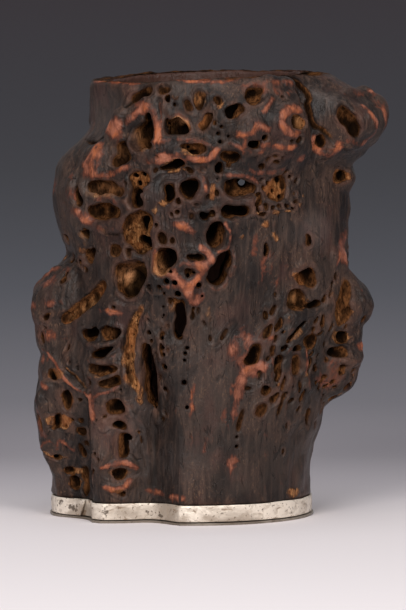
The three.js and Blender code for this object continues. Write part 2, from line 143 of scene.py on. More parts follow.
# Hollows: angle, height, half width, half height, depth, lean, height of the lip, share of bare wood
HOLLOWS = {
    "rim cut": (-29, 156, 1.7, 4.2, 3.5, 60, 0.4, 0.5),
    "rim dish": (-14.5, 158, 3.0, 1.7, 1.5, 0, 0.3, 0.4),
    "arch hollow": (-26, 141.5, 5.4, 6.0, 11, 0, 0.4, 0.5),
    "arch throat": (-22.5, 147.5, 1.6, 3.2, 5, 0, 0.1, 0.1),
    "arch slit": (-12.6, 146, 0.6, 2.8, 4, 0, 0.1, 0.0),
    "neck hollow": (-6, 145, 4.5, 4.3, 7, 0, 0.5, 0.8),
    "left round hollow": (-38.5, 133.5, 4.8, 4.4, 5, 0, 0.6, 0.5),
    "wide hollow": (-49, 122, 8.2, 3.5, 3.2, 0, 0.4, 0.45),
    "cluster hollow": (-26.5, 125.5, 4.5, 3.7, 3.5, 0, 0.3, 0.9),
    "under the cluster": (-27.5, 118.5, 2.8, 3.6, 6, 0, 0.4, 0.3),
    "side slit": (-60.5, 118.5, 2.6, 4.0, 4, -10, 0.4, 0.3),
    "eye": (-47.5, 113.5, 8.2, 3.2, 3.6, 0, 0.6, 0.5),
    "lens pit": (2, 137, 4.8, 2.3, 3, 0, 0.3, 0.7),
    "splinter pit": (-9, 131, 4.6, 2.2, 3.5, -20, 0.2, 0.7),
    "round dark": (0, 122.5, 3.7, 3.1, 6, 0, 0.6, 0.1),
    "small dark": (-10, 119.8, 2.1, 2.5, 5, 0, 0.5, 0.1),
    "upper ring": (19.5, 134, 4.5, 2.0, 4, 0, 0.6, 0.5),
    "dark drop": (15, 130, 1.6, 2.2, 5, 0, 0.4, 0.2),
    "oval hollow": (25, 122.8, 6.9, 3.3, 5, 6, 0.7, 0.35),
    "daylight bore": (26, 124.3, 1.5, 1.7, 24, 0, 0.0, 0.0),
    "small ringed": (7.5, 112.5, 1.5, 1.5, 5, 0, 0.9, 0.0),
    "middle pit": (23.5, 114, 5.3, 2.8, 6, 0, 0.5, 0.4),
    "slanting cut": (21, 151, 1.9, 4.0, 5, 45, 0.3, 0.1),
    "slanting cut by the rim": (31.5, 157, 2.2, 5.2, 5, 45, 0.3, 0.1),
    "ochre scoop": (9, 147, 1.6, 3.8, 1.6, 35, 0.3, 1.0),
    "swirl scoop": (5.5, 155.5, 2.2, 4.0, 1.2, -8, 0.2, 0.5),
    "knob eye": (47.5, 146.3, 4.4, 3.0, 2.1, 0, 0.2, 1.3),
    "knob pit": (29, 138.5, 2.6, 1.9, 5, 0, 0.4, 0.0),
    "knob bore": (32.5, 141, 1.2, 1.2, 24, 0, 0.3, 0.0),
    "lobe dent": (63, 138.5, 2.6, 2.4, 2.5, 0, 0.2, 0.0),
    "ear hollow": (66.5, 146, 3.0, 7.0, 4.6, -32, 0.3, 0.35),
    "knob dimple": (39, 134.5, 1.6, 0.8, 1.8, 0, 0.2, 0.3),
    "knob lower dimple": (40.5, 132, 1.6, 0.8, 1.8, 0, 0.2, 0.3),
    "straw pit": (77.5, 125, 3.8, 2.8, 2.5, 0, 0.4, 1.0),
    "frayed hollow": (43.5, 122, 5.5, 4.4, 1.6, -30, 0.1, 0.7),
    "ochre pit": (34, 118.5, 1.8, 2.4, 2.5, 0, 0.3, 0.9),
    "cavity": (-28, 107.5, 6.0, 7.2, 5, 0, 0.4, 0.8),
    "cavity eye": (-25, 109.5, 2.0, 3.0, 9, 0, 0.0, 0.0),
    "cavity corner": (-23.5, 103.3, 3.2, 2.4, 10, 0, 0.2, 0.1),
    "ringed hollow": (-58, 97, 3.6, 2.6, 5, 0, 0.6, 0.3),
    "tan dent": (-40.5, 99.5, 2.4, 2.2, 1.5, 0, 0.2, 0.9),
    # Its share of bare wood over one makes its floor paler: painted light
    "large hollow": (-32.3, 89.3, 6.6, 6.8, 8, 0, 0.3, 1.5),
    "web hollow": (-13.5, 96.3, 4.0, 5.6, 8, 14, 0.4, 0.8),
    "deep oval": (14.5, 105.5, 3.4, 4.8, 8, 0, 0.4, 0.2),
    "through egg": (15.5, 93, 3.9, 6.8, 20, 22, 0.6, 0.3),
    "web cell": (3.5, 97.5, 3.6, 1.7, 3, 0, 0.3, 0.1),
    "web lower cell": (0.5, 92.5, 3.0, 1.6, 2.5, -20, 0.3, 0.1),
    "web side cell": (7, 94.5, 1.8, 1.5, 2.5, 0, 0.3, 0.1),
    "through slit": (-5.5, 74, 2.5, 7.4, 18, 0, 0.4, 0.2),
    "long through slit": (-24.5, 54, 2.5, 12.2, 19, -8, 0.3, 0.1),
    "narrow drop": (39.5, 100, 1.0, 2.6, 5, 0, 0.2, 0.0),
    "soft dent": (60, 102.5, 3.5, 2.2, 0.6, 0, 0.0, 0.0),
    "right hollow": (60.5, 89, 4.4, 3.8, 4.5, 0, 0.3, 1.0),
    "ochre hollow": (56, 80.5, 4.0, 3.9, 3.2, 0, 0.3, 1.3),
    "narrow eye": (63, 78.5, 4.4, 1.6, 3, 0, 0.4, 0.4),
    "chain top": (59, 72, 1.4, 2.8, 4, 45, 0.3, 0.4),
    "chain middle": (54.5, 68.5, 2.2, 4.0, 4, 45, 0.4, 0.6),
    "chain end": (50, 64, 2.2, 1.4, 4, -10, 0.3, 0.1),
    "chain side": (55.5, 63.5, 2.4, 1.3, 4, 0, 0.3, 0.2),
    "red cell": (62.5, 65.5, 3.4, 2.4, 2, 0, 0.3, 0.5),
    "low cell": (46.5, 58.5, 2.0, 3.6, 4, 35, 0.4, 0.6),
    "low long cell": (56.5, 57, 2.6, 4.4, 2.5, 0, 0.3, 0.7),
    "leaf": (34.5, 61.5, 2.6, 5.0, 4, 50, 0.5, 0.2),
    "knuckle pit": (76, 61, 3.6, 2.6, 6, 20, 0.6, 0.0),
    "over the knuckle pit": (78.5, 66, 3.6, 2.6, 2.5, 0, 0.4, 0.7),
    "low dish": (41, 48.5, 2.2, 2.0, 1.6, 0, 0.3, 0.6),
    "lower dish": (39, 41.5, 2.3, 2.4, 1.6, 0, 0.3, 0.7),
    "low dimple": (31.5, 49.5, 1.4, 1.1, 1.4, 0, 0.2, 0.0),
    "lens slit": (-41, 79, 1.5, 0.9, 3, 0, 0.1, 0.0),
    "left pair": (-55.5, 68, 4.3, 2.6, 5, 0, 0.5, 0.5),
    "right of the pair": (-44.5, 69, 3.8, 3.0, 5, 0, 0.5, 0.5),
    "stack top": (-47.5, 62, 2.1, 5.8, 5, 65, 0.4, 0.4),
    "stack second": (-48.5, 56, 5.4, 2.4, 5, 0, 0.5, 0.6),
    "stack third": (-42.5, 51.5, 4.2, 2.0, 4, -10, 0.5, 0.5),
    "stack fourth": (-39.5, 42.5, 3.3, 3.0, 4, 0, 0.4, 0.45),
    "stack fifth": (-37.5, 36, 2.8, 1.5, 2, 0, 0.3, 0.3),
    "column slot": (-36.5, 28.5, 2.3, 5.2, 3.6, -5, 0.4, 0.4),
    "column ring": (-38.5, 18, 4.0, 1.9, 2.2, 0, 0.5, 0.5),
    "column foot": (-38, 11.5, 1.9, 1.7, 3, 0, 0.2, 0.8),
    "left brown dish": (-72, 53, 4.0, 1.8, 1.2, 0, 0.3, 0.7),
    "left tall pit": (-67, 43.5, 2.3, 4.0, 2.0, -8, 0.3, 0.55),
    "left fibres": (-71, 35.5, 3.6, 3.0, 1.3, 0, 0.2, 0.9),
    "left dark hole": (-63.5, 36.5, 1.0, 1.0, 2.5, 0, 0.2, 0.0),
    "left red hole": (-64, 32.5, 1.8, 1.3, 2.2, 0, 0.3, 0.2),
    "left low slit": (-65, 25, 1.3, 3.2, 2.4, 0, 0.3, 0.3),
    "straw slot": (-74.5, 22, 4.6, 1.0, 1.4, 0, 0.2, 1.0),
    "foot pit": (-72, 17.5, 3.2, 2.2, 1.9, 0, 0.3, 0.7),
    "foot lower pit": (-70.5, 13, 2.4, 2.5, 2.2, 5, 0.3, 0.7),
    "foot long pit": (-65.5, 14.5, 2.3, 5.2, 2.2, -8, 0.3, 0.35),
    "left edge slot": (-77, 34, 1.5, 4.5, 1.5, -5, 0.2, 0.5),
    "back daylight": (154.2, 119, 4.5, 3.4, 26, 0, 0.8, 0.2),
    "back dot": (140, 134, 3, 2.6, 18, 0, 0.6, 0.2),
    "back large": (172, 96, 6.5, 8, 10, 15, 0.7, 0.7),
    "back oval": (-168, 126, 6, 4.5, 8, 0, 0.7, 0.3),
    "back round": (150, 80, 5, 5, 8, 0, 0.7, 0.5),
    "back wide": (-150, 100, 7, 5, 9, -20, 0.7, 0.4),
    "back tall": (-128, 120, 5, 6, 8, 0, 0.7, 0.6),
    "back right oval": (120, 105, 6, 4, 8, 10, 0.6, 0.2),
    "back slit": (-140, 60, 4, 8, 8, 0, 0.5, 0.5),
    "back right low": (130, 52, 5, 4, 7, 0, 0.6, 0.4),
    "back long slit": (168, 52, 3, 9, 9, 5, 0.4, 0.2),
    "left rear pit": (-115, 84, 5, 4, 7, 0, 0.6, 0.5),
    "left rear upper": (-105, 132, 5, 5, 7, 0, 0.6, 0.3),
    "right rear tall": (110, 70, 4, 6, 7, 0, 0.5, 0.6),
    "left rear low": (-122, 34, 4, 5, 7, 0, 0.5, 0.4),
    "right rear low": (108, 28, 3, 4, 5, 0, 0.4, 0.3),
    "back low": (-172, 30, 4, 5, 6, 0, 0.5, 0.5),
    "back crown pit": (-155, 144, 5, 3.6, 7, 0, 0.6, 0.3),
}

# Where a hollow runs in under one side: how far its deep end lies to the right of and above its mouth,
# in half widths and half heights
PULLS = {
    "arch hollow": (0.9, 0.3),
    "neck hollow": (0.1, -0.5),
    "left round hollow": (0.3, 0.4),
    "wide hollow": (0.3, -0.4),
    "eye": (0.3, 0.5),
    "oval hollow": (0.1, 0.5),
    "cavity": (0.3, -0.3),
    "large hollow": (0.7, -0.6),
    "web hollow": (0.6, 0.3),
    "deep oval": (-0.5, 0.2),
    "right hollow": (-0.4, 0.5),
    "ochre hollow": (-0.3, 0.4),
    "ear hollow": (0.2, -0.2),
    "left pair": (-0.2, 0.5),
    "right of the pair": (0.5, 0.4),
    "stack second": (0.6, 0.3),
    "stack third": (0.6, 0.2),
    "stack fourth": (0.4, 0.3),
    "column slot": (0.2, 0.3),
    "leaf": (0.2, 0.3),
    "round dark": (0.2, 0.4),
    "ringed hollow": (0.4, 0.2),
    "left tall pit": (0.4, 0.2),
}

# Where a hollow runs in towards another angle than the one it opens at
HEADINGS = {
    "daylight bore": 0,
    "back daylight": 180,
    "ear hollow": 25,
    "knob eye": 32,
    "lobe dent": 40,
}

# Where the burl stands proud of the smooth neck
NECK_EDGE = ((-23, 158), (-36, 152), (-44, 147.5), (-53.5, 141), (-60, 138), (-74, 138.5))

# Grooves along a line: half width, depth, share of bare wood, and the angle and height of each point.
# Those with no bare wood are creases, darkened with painted shade.
GROOVES = {
    "slanting groove": (2.5, 2.6, 1.0, ((-71, 72), (-66, 76), (-57.5, 81.5), (-47, 87.5))),
    "tan groove": (2.0, 1.7, 1.15, ((-25.5, 80.5), (-30.5, 75), (-33.5, 65), (-32.5, 56), (-29.5, 48))),
    "brown slit": (0.8, 2.5, 0.4, ((-15, 80), (-15.5, 75.5), (-15.5, 71))),
    "thin groove": (0.5, 1.2, 0.0, ((4.5, 82), (4.5, 76.5))),
    "ochre groove": (2.4, 2.2, 0.5, ((76.5, 70), (77, 79), (81, 86.5))),
    "red slit": (0.9, 1.6, 0.6, ((50, 47.5), (49, 43), (48, 38))),
    "crack": (0.9, 2.0, 0.5, ((29.5, 42.5), (28, 38), (27, 33.5))),
    "crease by the neck": (0.8, 0.9, 0.0, NECK_EDGE),
    "crease by the knob": (1.0, 1.6, 0.0, (
        (55.5, 162.5), (61, 159.5), (62, 154.5), (60.5, 151), (61.5, 145), (63.5, 142.5),
        (66, 138.5))),
    "striated groove": (0.9, 0.9, 0.7, ((-68, 56), (-64, 52), (-59.5, 48.5))),
    "valley line": (0.8, 1.0, 0.0, ((-55, 40), (-52.5, 30), (-52, 20), (-52, 10))),
    "fold crease": (0.8, 1.0, 0.0, ((-30, 37.5), (-29.5, 32), (-28.5, 26.5), (-26.5, 19.5))),
    "crease under the eye": (0.5, 0.8, 0.0, ((-57.5, 106), (-47, 104.8), (-36, 106))),
    "crease by the tan groove": (0.6, 0.8, 0.0, ((-29, 79.5), (-34.5, 72), (-37, 62), (-35, 52))),
    "crease under the hollow": (0.5, 0.8, 0.0, ((-42, 83.5), (-35, 80.6), (-28, 81), (-23.5, 84.5))),
}

# Rope-like ridges: half width, height above the wall, share worn red, and their points
ROPES = {
    "arch": (1.7, 1.5, 1.05, (
        (-36, 146), (-30, 149.5), (-24, 152.2), (-20, 150), (-17.5, 145.5), (-15, 140))),
    "neck fold": (1.2, 0.8, 0.4, ((-38, 150), (-43, 148), (-47, 144), (-50, 139))),
    "cheek fold": (2.4, 1.4, 0.6, ((-42, 149), (-42.5, 145.5), (-43.5, 140.5))),
    "slit ridge": (0.8, 0.7, 0.4, ((-14, 152.5), (-14.5, 147), (-14.5, 141.5))),
    "neck hollow lip": (0.9, 0.8, 0.5, ((-10.5, 148), (-6, 149.5), (-1, 146), (0, 143))),
    "red lobe": (2.6, 1.5, 1.0, ((-53, 137), (-55, 131.5), (-58, 127))),
    "left lip": (1.3, 0.8, 0.6, ((-59.5, 127), (-48.5, 126.5), (-40, 127.5), (-34, 129.5))),
    "lens top": (1.0, 0.7, 0.4, ((-21, 139), (-8, 140), (6, 139.5), (11.5, 137.5))),
    "lens edge": (1.4, 1.0, 0.9, (
        (-21, 133.5), (-15, 132.5), (-9, 134), (-4, 135.5), (2, 133.5), (9, 133), (13, 137))),
    "grey fold": (1.6, 1.2, 0.2, ((-34, 129.5), (-27, 132.5), (-22, 136.5))),
    "ridge by the round dark": (0.9, 0.8, 0.8, ((7, 126.5), (8, 123.5), (7.5, 120.5))),
    "oval upper lip": (1.0, 0.8, 0.5, ((14, 127), (20, 127.2), (28, 126.8), (34, 124.5))),
    "oval lower lip": (1.0, 0.8, 0.3, ((17, 118.7), (26, 117.3), (34, 118.7))),
    "ring pit hood": (0.9, 0.8, 0.5, ((11.5, 133), (14, 137.5), (18.5, 139), (24, 136.5), (26, 132))),
    "left cheek": (1.3, 0.8, 0.35, ((-59.5, 124), (-57.5, 119), (-50, 118), (-42, 118.5), (-37, 116.5))),
    "lower lid": (1.3, 0.8, 0.4, ((-59.5, 113), (-56.5, 108.5), (-48, 107), (-39, 108), (-34, 110.5))),
    "side fold": (1.6, 1.0, 0.4, ((-66, 128), (-65, 119), (-63.5, 112))),
    "knob crest": (1.5, 0.8, 0.5, (
        (25, 158.5), (32, 160), (42, 160.5), (51, 159.5), (56, 155.5), (56.5, 151))),
    "knob wrinkle": (1.1, 0.7, 0.8, ((32, 150.5), (34.5, 152.5), (38, 155))),
    "knob ring": (1.8, 0.9, 1.0, (
        (49, 151), (44, 151.3), (40, 149.5), (38.5, 146.5), (40.5, 143.5), (46, 142))),
    "knob lip": (1.4, 0.7, 0.75, ((21.5, 142.5), (26.5, 142.5), (29.5, 145.5), (33.5, 143.8))),
    "knob lower lip": (1.1, 0.7, 0.6, ((25, 140), (25.5, 137), (29.5, 135), (33.5, 136.5))),
    "knob chin": (1.2, 0.8, 0.5, ((24, 133), (32, 128.5), (41.5, 128), (48.5, 129.5))),
    "lobe ring": (1.7, 0.9, 0.95, (
        (61, 139.5), (62, 136.5), (64.5, 134.5), (67, 134), (67.5, 136), (66.5, 138))),
    "ear arc": (1.5, 0.7, 0.85, ((72, 151), (72.8, 148.5), (74, 145.5), (75.2, 142), (75.5, 139.5))),
    "ear bottom arc": (1.5, 0.7, 0.85, ((68, 138.8), (71.5, 137.3), (75, 137.8))),
    "ear outer arc": (2.0, 0.6, 0.9, ((82, 155), (84, 152.5), (84, 150), (84, 147.5))),
    "bar": (1.3, 0.6, 0.85, ((31.5, 138.2), (36, 137.8), (42, 137.4), (48, 137))),
    "ear rim": (1.3, 0.6, 0.4, ((72, 156), (80, 154.5), (86, 150.5))),
    "web strand top": (1.4, 1.0, 0.75, ((-2.5, 96.5), (2, 95), (5.5, 94), (8, 96.5))),
    "web strand down": (2.0, 1.1, 0.9, ((-10.5, 92), (-6, 89.5), (-2.5, 87), (1, 82.5))),
    "web strand across": (1.5, 1.0, 0.75, ((-14, 87), (-9, 87), (-5, 87), (1, 88.5), (5.5, 91), (8, 94))),
    "web strand left": (1.0, 0.7, 0.6, ((-10.5, 92), (-6, 94), (-2.5, 96.5))),
    "web strand foot": (1.0, 0.7, 0.8, ((1, 82.5), (4, 81.5), (7, 84.5))),
    "red lip": (1.5, 0.9, 0.95, ((6, 101), (9, 99), (12, 96.5))),
    "egg rim": (0.8, 0.6, 0.4, ((21.5, 101), (23, 95.5), (20.5, 90), (15.5, 85.5), (11, 86.5))),
    "oval rim": (0.8, 0.6, 0.7, ((17.5, 110), (19.8, 106), (19, 101), (15, 99.5))),
    "web hollow rim": (0.9, 0.7, 0.5, ((-17, 101), (-18.5, 96), (-17, 91.5), (-13, 90))),
    "strand by the slit": (1.0, 0.7, 0.2, ((-17, 90), (-20, 84), (-21, 76), (-21, 68))),
    "fold under the hollow": (0.8, 0.7, 0.1, ((-41, 84.3), (-35, 81.8), (-28, 82.2), (-24, 85.2))),
    "second fold under it": (1.0, 0.7, 0.1, ((-44, 82), (-36, 79.3), (-27, 79.8), (-23, 83))),
    "long thin ridge": (0.8, 1.2, 1.0, (
        (-80, 62), (-74, 59), (-69.5, 54.5), (-66, 51), (-62, 47.8), (-56, 46.3), (-51, 45.8))),
    "branch to the right": (0.9, 0.8, 0.7, ((-51, 45.8), (-44.5, 47.5), (-40, 48.5), (-37.5, 50.5))),
    "branch down": (1.8, 1.0, 1.0, ((-51, 45.8), (-50, 43), (-49.8, 38.5))),
    "stack upper ridge": (0.8, 1.1, 0.2, ((-57, 64.5), (-48, 65), (-40, 66.5))),
    "stack middle ridge": (0.8, 1.2, 0.2, ((-54, 59), (-46, 58.8), (-38.5, 62))),
    "stack lower ridge": (0.8, 1.2, 0.4, ((-53.5, 53), (-46, 52.5), (-40, 54.5))),
    "fold edge": (1.1, 1.5, 0.1, (
        (-37.5, 62.5), (-35, 57.5), (-34, 50.5), (-34.5, 45), (-32, 40), (-29, 36), (-28, 30.5),
        (-27.5, 24), (-26.5, 15))),
    "fold line": (0.9, 1.1, 0.1, ((-34.5, 30.5), (-31.5, 25), (-28.5, 17.5), (-27, 12))),
    "column edge": (1.0, 0.6, 0.1, ((-43.5, 38), (-42, 32.5), (-42, 27), (-45, 20))),
    "red lip low": (1.2, 1.0, 1.0, ((-43, 20.5), (-39, 22), (-35, 22.3), (-31.5, 20))),
    "red lip lower": (1.2, 0.9, 1.0, ((-43.5, 13.5), (-40, 12.5), (-36, 14), (-34, 16))),
    "pink highlight": (1.2, 0.8, 0.9, ((-75.5, 50), (-72, 48))),
    "left arc": (0.8, 0.6, 0.6, ((-79, 24.5), (-76.5, 27), (-74, 28), (-72.5, 25.5))),
    "right arc": (0.8, 0.6, 0.6, ((-73, 25.5), (-71.5, 28.5), (-69.5, 27.5), (-67.5, 24.5))),
    "left column fold": (1.4, 0.8, 0.5, ((-76, 46), (-75.5, 38), (-75.5, 30))),
    "knuckle edge": (1.3, 0.7, 0.7, ((-87, 81), (-88, 85), (-84, 89), (-80, 91))),
    "red knob left": (2.1, 1.5, 1.0, ((74, 93.5), (76, 97), (78, 99))),
    "red knob right": (2.0, 1.5, 1.0, ((79, 98), (83, 95), (84, 92))),
    "hollow hood": (1.0, 0.7, 0.2, ((54.5, 91), (58.5, 94), (64, 93.5), (67.5, 90))),
    "grey lip": (1.3, 1.0, 0.1, ((49, 74.8), (55, 75.6), (60, 76), (66, 77))),
    "chain outer ridge": (0.9, 0.7, 0.3, ((62, 74), (57, 69.5), (53, 65.5), (49, 61))),
    "chain inner ridge": (0.9, 0.7, 0.3, ((56, 74), (51, 69.5), (48, 65))),
    "upright ridge": (0.8, 0.7, 0.7, ((60, 62.5), (61, 55), (63, 47.5))),
    "second upright ridge": (0.8, 0.6, 0.3, ((52, 61), (52.5, 54), (54, 47))),
    "third upright ridge": (0.8, 0.6, 0.3, ((43, 60), (42, 54), (44, 50))),
    "ochre groove left rim": (1.0, 0.8, 0.2, ((72, 72), (72.5, 80), (75, 87))),
    "ochre groove right rim": (1.0, 0.8, 0.3, ((81, 71), (82, 79), (84, 86))),
    "grey lip of the knuckle": (1.2, 1.0, 0.1, ((76, 57.5), (82, 57), (86, 59))),
    "back long ridge": (1.2, 1.2, 0.9, ((-140, 118), (-146, 110), (-158, 106), (-166, 110), (-178, 106))),
    "back lip": (1.1, 0.9, 0.8, ((160, 106), (168, 109), (178, 107), (182, 98))),
    "back low ridge": (1.2, 1.1, 0.7, ((-150, 74), (-146, 64), (-136, 56), (-128, 58))),
    "back right ridge": (1.2, 1.1, 0.9, ((112, 98), (120, 96), (128, 100), (136, 110))),
}

# Small round holes: radius, depth, and their places
SMALL_HOLES = {
    "pin holes": (0.8, 3, (
        (-15.5, 68), (-15, 64.5), (-14.5, 62), (-14, 57.5), (-14.5, 49.5), (-22.7, 70))),
    "second row": (0.7, 2.5, ((-1.5, 64.5), (-2.5, 62.5), (-3, 60), (-3, 52), (-1.5, 43))),
    "under the slanting cut": (0.7, 3, ((15.5, 145), (14, 142.5), (18.5, 141.5), (15, 139.5))),
    "web holes": (1.1, 4, ((-7.5, 88.5), (4.5, 87.5), (-6, 84.5), (-12, 89))),
    "web small holes": (0.7, 3, (
        (-16, 87), (6.5, 83.5), (-1, 91), (2.2, 92.2), (-13.5, 84.5), (-9.5, 92.5))),
    "groove flecks": (0.45, 2.5, (
        (-29.5, 76), (-33, 69), (-34, 64.5), (-32, 59), (-33.5, 55.5), (-30.5, 50.5), (-31.5, 66.5),
        (-29.5, 72.5))),
    "crack ends": (0.7, 2, ((26, 32), (26, 28.5))),
    "cluster holes": (0.8, 5, ((-30, 127), (-25, 127.5), (-23, 124), (-28.5, 124), (-24.5, 121.5))),
    "lens holes": (0.6, 4, ((-1, 137.5), (3, 136), (5, 138), (1, 135.6))),
    "frayed holes": (0.8, 3, ((40, 124), (44, 121), (47, 119), (41, 119.5), (47, 125), (37, 122.5))),
    "knuckle holes": (0.8, 3, ((72, 52), (75, 50), (71, 48), (77, 53), (68, 55), (69, 50))),
    "fibre holes": (0.7, 4, ((-72, 36), (-69, 34), (-67, 36.5), (-73, 33))),
}

# Patches of another finish, and of painted shade and painted sheen: angle, height, half width, half
# height, lean, strength
WORN_PATCHES = {
    "cheek": (-44, 144.5, 4.5, 6.0, 20, 0.9),
    "lobe": (-55.5, 132, 5, 6.5, 15, 1.1),
    "above the eye": (-61, 120, 3.5, 3.5, 0, 0.7),
    "below the eye": (-58, 111, 5, 2.6, 35, 0.8),
    "under the lens": (-12.5, 133.4, 8, 1.8, 0, 1.1),
    "arch crest": (-24, 151, 6, 2.4, 0, 0.7),
    "red knob": (79.5, 97, 4.5, 4.5, 0, 1.1),
    "knob crest": (41, 158, 13, 2.6, 0, 0.35),
    "right panel": (40, 92, 5, 7, 10, 0.45),
    "low red": (5, 30, 6, 5, 0, 0.35),
    "red bump": (-2, 108.5, 4.5, 2.0, 25, 0.8),
    "web node": (-1.5, 86.5, 3.4, 2.2, 20, 1.0),
    "web low node": (3.5, 82.3, 2.4, 2.4, 0, 1.05),
    "web top node": (4.5, 95.5, 2.6, 1.6, 0, 0.85),
    "stain under the straws": (33, 102, 2.4, 5.5, 0, 0.5),
    "stain in the middle": (45, 90.5, 6, 5, 0, 0.45),
    "stain over the leaf": (35, 67.5, 7.5, 4, 0, 0.7),
    "left of the leaf": (26.5, 63, 3.2, 5.5, 0, 0.85),
    "under the leaf": (34, 56, 5.5, 3.2, -15, 1.15),
    "streak from the leaf": (27, 50, 3.0, 5.2, 12, 1.15),
    "low streak": (22, 40, 3.4, 5.0, 20, 0.8),
    "lowest streak": (23, 22, 2.6, 3.2, 0, 0.6),
    "left knuckle": (-78, 87, 5, 3, -30, 0.6),
    "left knuckle spot": (-83, 77.5, 3, 2.4, 0, 0.9),
    "left knuckle second spot": (-74, 79, 2.4, 2, 0, 0.7),
    "left waist spot": (-77.5, 68, 3, 3, 0, 0.5),
    "left waist low spot": (-79, 58, 2.6, 2, 0, 0.8),
    "lens": (-44, 77, 5, 1.6, 0, 0.8),
    "foot edge": (-13, 10, 12, 1.1, 4, 1.0),
    "right knuckle edge": (92, 84, 4, 5, 0, 0.6),
    "orange knob": (87, 62, 4.5, 2.6, 0, 1.2),
    "red fibres": (73, 53, 5, 6.5, 0, 0.55),
    "chin spot": (53, 133, 1.8, 2, 0, 0.6),
    "over the red knob": (80, 101, 3.5, 5.0, 0, 0.9),
    "neck rim": (-58, 161, 26, 1.2, 0, 0.8),
    "front rim": (0, 161, 20, 0.9, 0, 0.7),
    "ear tip": (81, 150, 3.4, 6.0, -12, 0.95),
    "left shoulder edge": (-86, 122, 4, 10, 0, 0.4),
    "left shoulder spot": (-80, 121, 3, 3, 0, 0.7),
    "low left column": (-77, 34, 3, 7, 0, 0.5),
    "hot line": (1, 45, 0.8, 7, 3, 0.7),
    "back crest": (-136, 106, 5, 9, 15, 0.9),
    "back shoulder": (-158, 134, 9, 4, -10, 0.9),
    "back middle": (158, 104, 4, 7, 20, 0.8),
    "back right": (128, 92, 5, 6, 0, 0.8),
    "back low": (-160, 44, 5, 8, 10, 0.8),
    "back knuckle": (-130, 46, 7, 4, 0, 0.9),
    "back right knuckle": (125, 60, 6, 4, 0, 0.9),
    "back rim": (180, 161, 40, 1.0, 0, 0.7),
}
BARE_PATCHES = {
    "splinter": (-7, 129, 3.8, 0.8, -20, 1.0),
    "by the small dark": (-13.5, 117, 1.6, 1.6, 0, 1.0),
    "straw drop": (11.5, 121, 1.4, 3.8, 0, 0.9),
    "tan ring": (-17.5, 114.5, 1.4, 1.7, 0, 0.9),
    "upper straw": (-7.5, 155, 2.2, 1.2, 20, 0.8),
    "straw by the cut": (15, 152.5, 1.4, 1.8, 40, 0.8),
    "straw one": (43.5, 113.5, 2.0, 1.2, 0, 1.0),
    "straw two": (49, 113.8, 1.4, 0.8, 0, 0.9),
    "straw three": (34, 113.5, 2.2, 0.9, 0, 0.7),
    "straw four": (38.5, 109, 1.6, 1.5, 0, 0.9),
    "straw five": (44, 104, 1.5, 1.5, 0, 1.0),
    "straw slash": (27, 105, 0.8, 1.8, 30, 0.9),
    "eye spot": (-42, 114.5, 1.6, 1.8, 0, 1.0),
    "ringed spot": (-64, 98.5, 2.4, 1.4, 0, 0.8),
    "notch spot": (-85, 94.5, 1.8, 1.8, 0, 0.9),
    "raw patch": (62, 9.6, 4.2, 1.4, 0, 1.2),
    "light spot": (57, 119, 1.0, 1.0, 0, 0.8),
    "second light spot": (54.5, 115.5, 1.0, 0.8, 0, 0.7),
    "left fibres": (-43.5, 106, 4, 3.5, 0, 0.35),
    "light fibres": (11, 75.5, 1.4, 6.5, 0, 0.4),
    "slit fibres": (-9, 80, 2, 3, 30, 0.6),
    "brown patch": (-61, 103, 2, 3, 0, 0.5),
    "slanting streak": (-60.5, 79.7, 1.4, 8.0, 48, 1.5),
    "groove top": (-27, 78, 1.6, 2.6, 20, 0.9),
    "groove shoulder": (-31.5, 70.5, 2.2, 3.0, 0, 1.0),
    "groove middle": (-33.5, 61.5, 2.2, 4.0, 0, 1.1),
    "groove lower": (-31.5, 52.5, 2.0, 3.4, 0, 1.0),
    "groove foot": (-29, 45.5, 1.4, 3.0, 0, 0.8),
}
# Dark stains, and painted shade under the knob's chin, under the ear and in the left valley
STAIN_AND_SHADE_PATCHES = {
    "burl crown": (-4, 141, 46, 18, 0, 0.45),
    "burl face": (-14, 112, 52, 26, 0, 0.55),
    "burl waist": (-38, 92, 36, 18, 0, 0.45),
    "right honeycomb": (58, 60, 18, 20, 0, 0.75),
    "by the egg": (30, 78, 10, 20, 0, 0.35),
    "dark band": (21, 26, 3.2, 6, 20, 0.8),
    "lower trunk": (2, 42, 24, 26, 0, 0.3),
    "right foot": (48, 26, 18, 22, 0, 0.4),
    "right panel": (34, 80, 12, 22, 0, 0.35),
    "dark band foot": (16, 15, 3.6, 9, 10, 0.8),
    "soft spot": (24.5, 72.5, 1.8, 4.5, 0, 0.7),
    "dark spot by the egg": (24.5, 92, 1.4, 1.6, 0, 0.7),
    "soft dent": (60, 102.5, 3, 2.2, 0, 0.7),
    "under the chin": (42, 125, 12, 2.5, 0, 0.5),
    "left valley": (-56, 20, 3, 14, 0, 0.5),
    "under the ear": (76, 131, 9, 3, 0, 0.5),
}
# Painted sheen: pale grey patches that stand in for soft highlights
PAINTED_SHEEN_PATCHES = {
    "pale rim patch": (15.5, 160, 3.2, 1.8, 0, 0.8),
    "striated light": (64.5, 155, 2.6, 1.8, 0, 0.8),
    "pale swelling": (63, 107, 8, 7, 0, 0.9),
    "grey flank": (45, 66, 8, 6, 0, 0.3),
    "smooth front": (8, 55, 9, 14, 0, 0.12),
    "low front": (-8, 22, 14, 9, 0, 0.3),
    "neck": (-60, 148, 12, 10, 0, 0.8),
    "fold": (-30, 37, 3.0, 12, 5, 0.9),
    "column cheek": (-46, 30, 3.5, 9, 0, 0.4),
}
